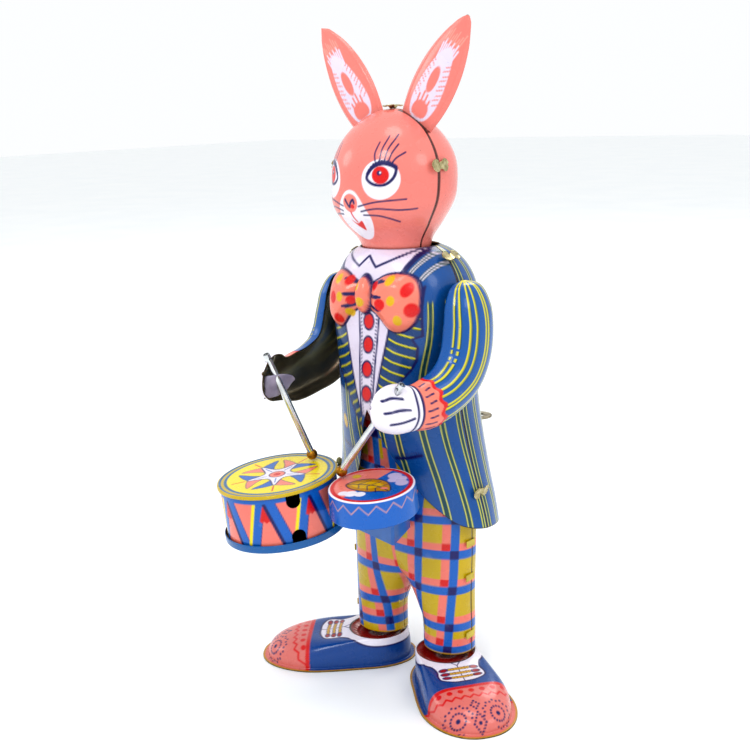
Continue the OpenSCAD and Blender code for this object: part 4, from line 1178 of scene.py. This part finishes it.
def make_big_drum():
    place = drum_place(BIG_AT, BIG_SLOPE)
    path = (run((BIG_R - 0.35, -1.3), (BIG_R, -1.05), 2) + run((BIG_R, -1.05), (BIG_R, -0.45), 3)
            + [(BIG_R - 0.06, -0.2), (BIG_R - 0.2, 0), (BIG_R - 0.5, 0.12), (BIG_R - 0.9, 0.12),
               (BIG_R - 1.2, 0.03)] + run((BIG_R - 1.4, 0), (0.4, 0), 56) + [(0.4, 0)])
    grid, a = turned(path, 344)
    r = np.hypot(grid[..., 0], grid[..., 1])
    p = Print(grid[..., 0], grid[..., 1], "lemon")
    paint_big_head(p, r)
    head = pressing("big_drum_skin", grid, p.rgb, TIN_SHEET, wrap=True, cap="last", place=place)
    finish(head, "frame", "tin_yellow", "big_drum_head")

    path = run((SHELL_R, -BIG_H), (SHELL_R, -0.5), 52) + [(SHELL_R, -0.5)]
    grid, a = turned(path, 352)
    angle = np.degrees(a)
    angle = np.where(angle > 270, angle - 360, angle)
    p = Print(angle, grid[..., 2], "pink")
    paint_big_side(p, angle, grid[..., 2])
    p.lay(-3.2 - grid[..., 2], "sky")
    across = math.radians(NOTCH_TURN)
    axis = (math.cos(across), math.sin(across), 0)
    holes = [((0, 0, height), axis, NOTCH_R) for height in (-2.2, -3.7, -17.3, -19)]
    shell = pressing("big_drum_side", grid, p.rgb, [PRINTED, DARK_INSIDE, EDGE], wrap=True,
                     holes=holes, place=place)
    finish(shell, "frame", "tin_salmon", "big_drum_shell")

    low, outside = -BIG_H - 0.5, BIG_R + 0.2
    path = (run((0.5, low), (outside - 0.6, low), 18)
            + [(outside - 0.6, low), (outside - 0.2, low + 0.12), (outside, low + 0.45)]
            + run((outside, low + 0.8), (outside, low + 2.7), 5)
            + [(outside, low + 2.7), (outside - 0.12, low + 2.95), (outside - 0.3, low + 3)])
    grid, a = turned(path, 180)
    p = Print(grid[..., 0], grid[..., 1], "tray")
    tray = pressing("big_drum_tray", grid, p.rgb, TIN_SHEET, wrap=True, cap="first", place=place)
    finish(tray, "frame", "tin_drum_blue", "big_drum_base")


def paint_small_head(p, r):
    p.shape([(-17, -17), (17, -17), (17, -2), (0, 1), (-17, 4)], "sky")
    p.shape([(-17, -17), (-2, -17), (-1, 17), (-17, 17)], "salmon")
    p.shape([(-1.4, -17), (17, -17), (17, 17), (-0.6, 17)], "sky")
    for x, y, size in ((2.6, 10.2, 2.6), (6, 8.6, 2.8), (9, 6.2, 2.4), (4.6, 7, 2.2)):
        p.dot((x, y), size, "lilac")
    for x, y, size in ((-1.6, -9.6, 2.4), (1.6, -8.4, 2), (-4.4, -10.6, 1.8)):
        p.dot((x, y), size, "white")
    leaf = curve([(-8.6, -3.6), (-7.2, 0.8), (-3, 4.2), (2.4, 4.8), (6.6, 2.4), (9.4, -1.6),
                  (6, -3.4), (2.6, -5.6), (-2.4, -6.4), (-6.4, -5.8)])
    p.shape(leaf, "gold", "navy", 0.5)
    p.shape(curve([(-6.6, -3.4), (-4.6, 0.4), (0, 2.6), (4.8, 1.2), (2, -2.6), (-3, -4.4)]), "amber")
    p.line(curve([(-8.4, -3.5), (-2, -1), (3, -0.2), (8.8, -1.6)], closed=False), 0.45, "navy")
    for u, up in ((-4.6, 3), (-0.6, 3.6), (3.2, 3)):
        p.line([(u, -1.8), (u + 2, up)], 0.36, "navy")
        p.line([(u, -1.8), (u + 2.4, -4.6)], 0.36, "navy")
    p.oval((6.2, -0.4), 1.5, 0.9, "salmon", turn=20)
    p.dot((-9.8, 3.4), 1.7, "amber")
    p.lay(13.5 - r, "crimson")
    p.lay(15 - r, "white")


def make_small_drum():
    place = drum_place(SMALL_AT, SMALL_SLOPE)
    path = (run((SMALL_R + TIN, -SMALL_H), (SMALL_R + 0.05, -0.7), 26)
            + [(SMALL_R, -0.5), (SMALL_R - 0.15, -0.22), (SMALL_R - 0.4, -0.04)]
            + run((SMALL_R - 0.6, 0), (0.4, 0), 42) + [(0.4, 0)])
    grid, a = turned(path, 268)
    r = np.hypot(grid[..., 0], grid[..., 1])
    z = grid[..., 2]
    p = Print(grid[..., 0], grid[..., 1], "sky")
    paint_small_head(p.only((z > -0.3).astype(float)), r)
    side = p.on(SMALL_R * a, z).only((z < -0.6).astype(float))
    teeth = 16
    step = 2 * math.pi * SMALL_R / teeth
    zigzag = [(step * k / 2, -4.5 if k % 2 else -1.5) for k in range(2 * teeth + 1)]
    side.line(zigzag, 0.32, "thread")
    cup = pressing("small_drum_pressing", grid, p.rgb, TIN_SHEET, wrap=True, cap="last",
                   place=place)
    finish(cup, "frame", "tin_drum_blue", "small_drum_cup")


# ---- Arms ---------------------------------------------------------------------------------------
ARM = [[0, 12.6, 159.4, 0.6, 28.2, 0.6], [1, 12.6, 157.4, 7.6, 28.2, 5],
       [2, 12.6, 151.2, 11.2, 28.2, 8.4], [3, 12.2, 143, 12.3, 28.4, 9.8],
       [4, 9.8, 133.6, 12.3, 28.6, 10.2], [5, 4.4, 126, 11.2, 28.6, 10.2],
       [6, -3.4, 121, 9.8, 28.2, 9.4], [7, -11, 118.4, 9.4, 27, 8.2],
       [8, -17.6, 118, 8.2, 25.4, 7], [9, -23, 118.8, 8.9, 23.8, 6.8],
       [10, -28, 119.8, 7.8, 22.4, 6.2], [11, -31.4, 120.6, 5, 21.4, 3.8],
       [12, -33, 121, 0.6, 21, 0.6]]
ELBOW = (9.8, 133.6)
RAISE = {"left": 0, "right": 2}
RIGHT_BEND, RIGHT_OUT, RIGHT_REACH = 7, 3, 4
STICKS = {"left": ((-1.1, -24.2, 91.9), (27.4, -23, 128)),
          "right": ((-22.3, -17.2, 92.9), (-25.2, -35.8, 135.1))}
STICK_HOLE_R = 1.35
CUFF_FROM, GLOVE_FROM = 6.75, 8.15


def arm_centre(s, bend, out, reach):
    p0 = along(ARM, s, 1) - ELBOW[0] - reach * smooth((s - 5) / 3.5)
    p1 = along(ARM, s, 2) - ELBOW[1]
    a = np.radians(bend * smooth((s - 3.4) / 2.4))
    return np.stack([along(ARM, s, 4) + out * smooth((s - 4) / 5),
                     ELBOW[0] + p0 * np.cos(a) + p1 * np.sin(a),
                     ELBOW[1] + p1 * np.cos(a) - p0 * np.sin(a)], axis=-1)


def arm_points(s, a, bend=0.0, out=0.0, reach=0.0):
    ahead = arm_centre(s + 0.05, bend, 0, reach) - arm_centre(s - 0.05, bend, 0, reach)
    ahead /= np.linalg.norm(ahead, axis=-1, keepdims=True)
    side = np.stack([0 * s, -ahead[..., 2], ahead[..., 1]], axis=-1)
    side /= np.linalg.norm(side, axis=-1, keepdims=True)
    flat = 1 - 0.6 * smooth(1 - abs(s - 9.5) / 1.9) * smooth(1 - abs(a - 2.25) / 1.1)
    swell = np.stack([along(ARM, s, 5) * np.sin(a).clip(0) ** 0.8 * flat, 0 * s, 0 * s], axis=-1)
    return arm_centre(s, bend, out, reach) + side * (along(ARM, s, 3) * np.cos(a))[..., None] + swell


def paint_sleeve(p, s, degrees, length):
    """Stripes along the sleeve, a ruffle, a cuff and a glove, in the arm's own coordinates."""
    across = along(ARM, s, 3) * math.pi / 180
    for place in (160, 148, 126, 111, 88, 80, 56, 44, 24):
        dashed = place in (160, 148)
        gate = (s < CUFF_FROM + 0.2).astype(float)
        if dashed:
            gate = gate * ((length < 27) | (length > 39.5) | (np.mod(length, 4.2) < 2.6))
        line = p.only(gate)
        line.lay((abs(degrees - place + 1.6) - 2.6) * across - 0.05, "green", strength=0.85)
        line.lay(abs(degrees - place) * across - 0.36, "yellow")
    wave = 0.1 * np.sin(np.radians(degrees) * 11)
    p.lay((CUFF_FROM + wave - s) * 8, "red")
    p.lay((CUFF_FROM + 0.21 + 0.8 * wave - s) * 8, "rose")
    for k in range(9):
        d = 18 + 18 * k
        u = 0.28 if k % 2 else 0.44
        p.on(s * 7.6, degrees * 0.17).line(
            [((CUFF_FROM + 0.45) * 7.6, d * 0.17), ((CUFF_FROM + 0.5 + u) * 7.6, d * 0.17 - 0.5)],
            0.8, "navy")
    p.lay((GLOVE_FROM - 0.22 - s) * 6, "white")
    for place in (GLOVE_FROM - 0.2, GLOVE_FROM + 0.12):
        p.lay(abs(s - place) * 6 - 0.42, "navy")


def make_arm(name, side):
    rows, columns = 232, 72
    s, a = np.meshgrid(np.linspace(0.02, 11.98, rows), np.linspace(0, math.pi, columns),
                       indexing="ij")
    plain = arm_points(s, a)
    grid = plain if side > 0 else arm_points(s, a, RIGHT_BEND, RIGHT_OUT, RIGHT_REACH)
    centre = arm_centre(s[:, 0], 0, 0, 0)
    length = np.concatenate([[0], np.cumsum(np.linalg.norm(np.diff(centre, axis=0), axis=1))])
    length = np.repeat(length[:, None], columns, 1)
    p = Print(length, np.degrees(a), "sleeve")
    paint_sleeve(p, s, np.degrees(a), length)
    hand = p.on(plain[..., 1], plain[..., 2]).only((s > GLOVE_FROM + 0.2).astype(float))
    for line in (((-30.6, 123.3), (-27, 123.6), (-22.6, 122.7)),
                 ((-30.9, 119.2), (-26, 119.4), (-21.8, 118.9)),
                 ((-29.3, 115), (-25, 115.2), (-21, 115.9))):
        hand.line(curve(line, closed=False), 0.95, "navy")
    rgb = p.rgb
    pivot = np.array([0, SEAM_Y, SHOULDER_Z])
    raised = (grid - pivot) @ turn_matrix("X", -RAISE[name]).T + pivot
    if side < 0:
        raised = (raised * np.array([-1, 1, 1]))[:, ::-1]
        rgb = rgb[:, ::-1]
    ball, top = (np.array(end) for end in STICKS[name])
    ahead = (top - ball) / np.linalg.norm(top - ball)
    piece = pressing(name + "_sleeve_pressing", raised, rgb, [PRINTED, DARK_INSIDE, EDGE],
                     holes=[(ball + 3 * ahead, ahead, STICK_HOLE_R)])
    finish(piece, name + "_arm", "tin_blue", name + "_arm")


# Folded fingers: their plan (x, y) from the tip of the hand, their height, and how far they are
# moved along X and lean along X, so that the right stick lies in front of their lower part
FINGERS = {
    "left": ([(22.2, -29.4), (21.7, -29.8), (21.1, -29), (20.7, -27), (20.6, -24), (20.9, -21.6)],
             120.6, 0, 0),
    "right": ([(-26.6, -35.4), (-25.8, -36), (-24.6, -35), (-23.7, -31), (-23.5, -27),
               (-23.4, -23.4)], 122.6, -1.3, 1.55),
}


def make_fingers(name):
    """Fingers folded round the stick: one bent strip with a round end."""
    points, height, shift, lean = FINGERS[name]
    path = curve(points, closed=False)
    along_path, v = np.meshgrid(np.linspace(0, 1, len(path)), np.linspace(-1, 1, 17),
                                indexing="ij")
    half = 4.5 * np.sqrt(np.clip(1 - (np.clip(along_path - 0.45, 0, 1) / 0.56) ** 2, 0.003, 1))
    half *= 0.7 + 0.3 * smooth(along_path / 0.3)
    plan = np.repeat(path[:, None, :], 17, axis=1)
    plan[..., 0] += (shift + lean * v) * smooth(along_path / 0.4)
    grid = np.concatenate([plan, (height + half * v)[..., None]], axis=-1)
    rgb = np.tile(INK["lilac"], grid.shape[:2] + (1,))
    # The darkened lilac enamel gives painted shade on the folded fingers
    piece = pressing(name + "_fingers", grid, rgb, [SHADED_LILAC] * 3)
    finish(piece, name + "_arm", "tin_lilac", name + "_finger_flap")


# ---- Winding key --------------------------------------------------------------------------------
KEY_Y, KEY_END = 45, 55.87


def make_key():
    """Two ring wings on a flat bar and a barrel, with rounded edges."""
    verts, faces = [], []
    count = 0

    def add(grid, wrap_rows=True):
        nonlocal count
        rows, columns = grid.shape[:2]
        index = count + np.arange(rows * columns).reshape(rows, columns)
        below = np.roll(index, -1, 0) if wrap_rows else index[1:]
        above = index if wrap_rows else index[:-1]
        faces.append(np.stack([above, np.roll(above, -1, 1), np.roll(below, -1, 1), below],
                              axis=-1).reshape(-1, 4))
        verts.append(grid.reshape(-1, 3))
        count += rows * columns

    def section(half_wide, half_thick, steps=20):
        b = np.linspace(0, 2 * math.pi, steps, endpoint=False)
        return half_wide * rounded(np.cos(b), 3.4), half_thick * rounded(np.sin(b), 3.4)

    middle_y = KEY_END - 5.1
    for side in (-1, 1):
        a = np.linspace(0, 2 * math.pi, 64, endpoint=False)
        wide, thick = section(1.45, 0.6)
        r = 3.65 + wide
        ring = np.stack([side * 8.2 + np.outer(np.cos(a), r), middle_y + np.outer(np.sin(a), r),
                         np.tile(KEY_Z + thick, (64, 1))], axis=-1)
        add(ring[:, ::-1])
    wide, thick = section(2, 0.58)
    x = np.array([-6.2, -6.1, -3, 0, 3, 6.1, 6.2])
    shrink = np.array([0.02, 1, 1, 1, 1, 1, 0.02])
    bar = np.stack([np.repeat(x[:, None], 20, 1), middle_y + np.outer(shrink, wide),
                    KEY_Z + np.outer(shrink, thick)], axis=-1)
    add(bar, wrap_rows=False)
    barrel = [(1.25, 0), (2.2, 0), (2.4, 0.2), (2.4, 2.2), (2.28, 2.4), (2.4, 2.6), (2.4, 7.6),
              (2.1, 8.1), (1.2, 8.2), (0.05, 8.2)]
    a = np.linspace(0, 2 * math.pi, 40, endpoint=False)
    grid = np.stack([np.outer([r for r, _ in barrel], np.cos(a)),
                     np.repeat(KEY_Y + np.array([[y] for _, y in barrel]), 40, 1),
                     KEY_Z + np.outer([r for r, _ in barrel], np.sin(a))], axis=-1)
    add(grid[:, ::-1], wrap_rows=False)
    faces = np.concatenate(faces)
    piece = new_piece("winding_key_wings", np.concatenate(verts), faces, np.zeros(len(faces)),
                      np.ones(len(faces)), [BARE])
    finish(piece, "key", "bare_tin", "winding_key")


# ---- CAD parts that keep their shape ------------------------------------------------------------
NODE_FINISHES = (
    (STEEL, ("left_drumstick", "right_drumstick", "shoulder_axle", "axle_washers", "neck_post",
             "neck_collar", "drum_rivets")),
    (BALL, ("left_stick_ball", "right_stick_ball")),
    (PLAIN_BLUE, ("drum_bracket",)),
    (PLAIN_YELLOW, ("trouser_clips",)),
    (CLIP, ("ankle_tabs",)),
    (BARE, ("neck_socket", "neck_bridge", "axle_hanger", "left_arm_hub", "right_arm_hub",
            "small_drum_base")),
    (BRASS, ("great_wheel", "second_pinion", "second_wheel", "escape_pinion", "escape_wheel",
             "drum_cam", "ratchet_wheel")),
    (SPRING, ("mainspring",)),
)


def finish_nodes():
    chosen = {node: material for material, nodes in NODE_FINISHES for node in nodes}
    for name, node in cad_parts.items():
        node.data.materials.clear()
        node.data.materials.append(chosen.get(name, MOTOR))


# ---- Stage --------------------------------------------------------------------------------------
CAMERA_AT = (263.9, -317.8, 221)
CAMERA_AZIMUTH, CAMERA_PITCH, CAMERA_ROLL = 40.13, 13.3, -1.98
LENS, SENSOR = 54.4, 36
AIM = (0, 0, 120)
EXPOSURE, GAMMA = 0.16, 0.87
SKY_STRENGTH = 0.9
FLOOR_SIZE, FLOOR_Z = 6.0, -0.06
# Name, place in metres, diameter in metres and power of each lamp
LAMPS = (
    ("key_light", (0.35, -1.1, 1.25), 0.5, 5.5),
    ("side_light", (1.2, 0.1, 0.8), 0.5, 2),
    ("top_light", (0.1, -0.1, 1.6), 0.6, 3.5),
    ("left_light", (-1.2, -0.5, 0.7), 0.5, 1.6),
    ("back_light", (-0.3, 1.2, 1.1), 0.5, 2.5),
)


def make_camera():
    a, p, r = (math.radians(v) for v in (CAMERA_AZIMUTH, CAMERA_PITCH, CAMERA_ROLL))
    ahead = Vector((-math.sin(a) * math.cos(p), math.cos(a) * math.cos(p), -math.sin(p)))
    right = Vector((math.cos(a), math.sin(a), 0))
    up = right.cross(ahead)
    tilted = right * math.cos(r) + up * math.sin(r)
    up = up * math.cos(r) - right * math.sin(r)
    data = bpy.data.cameras.new("camera")
    data.lens, data.sensor_width = LENS, SENSOR
    data.clip_start, data.clip_end = 0.01, 20
    camera = bpy.data.objects.new("camera", data)
    turn = Matrix((tilted, up, -ahead)).transposed().to_4x4()
    camera.matrix_world = Matrix.Translation(Vector(CAMERA_AT) * MM) @ turn
    bpy.context.scene.collection.objects.link(camera)
    bpy.context.scene.camera = camera


def softbox(name, at, size, power):
    data = bpy.data.lights.new(name, "AREA")
    data.shape, data.size, data.energy = "DISK", size, power
    lamp = bpy.data.objects.new(name, data)
    lamp.location = Vector(at)
    lamp.rotation_euler = (Vector(AIM) * MM - Vector(at)).to_track_quat("-Z", "Y").to_euler()
    bpy.context.scene.collection.objects.link(lamp)


def make_stage():
    view = bpy.context.scene.view_settings
    view.view_transform = "Standard"
    view.exposure = EXPOSURE
    view.gamma = GAMMA
    for lamp in LAMPS:
        softbox(*lamp)
    world = bpy.data.worlds.new("studio")
    world.use_nodes = True
    sky = world.node_tree.nodes["Background"]
    sky.inputs["Color"].default_value = (0.98, 0.99, 1, 1)
    sky.inputs["Strength"].default_value = SKY_STRENGTH
    bpy.context.scene.world = world
    f = Finish("pale_floor")
    f.colour(f.blend(f.range(f.noise(9, 3), 0.3, 0.7), rgba("F9FBFB"), rgba("F5F8F9")))
    f.roughness(f.range(f.noise(14, 3), 0.3, 0.7, 0.5, 0.6))
    corners = np.array([(-1, -1), (1, -1), (1, 1), (-1, 1)]) * FLOOR_SIZE / MM
    verts = np.concatenate([corners, np.full((4, 1), FLOOR_Z)], axis=1)
    floor = new_piece("floor", verts, np.array([[0, 1, 2, 3]]), [0], [0], [f.material])


make_camera()
make_stage()
finish_nodes()
make_head()
make_ears()
make_clips()
make_coat_front()
make_coat_back()
make_trousers("trousers_front_shell", "trousers_front", 3, -1, 113.5, 225, 96)
make_trousers("trousers_back_shell", "trousers_back", 4, 1, 79, 130, 80)
make_shoes()
make_big_drum()
make_small_drum()
make_arm("left", 1)
make_arm("right", -1)
make_fingers("left")
make_fingers("right")
make_key()
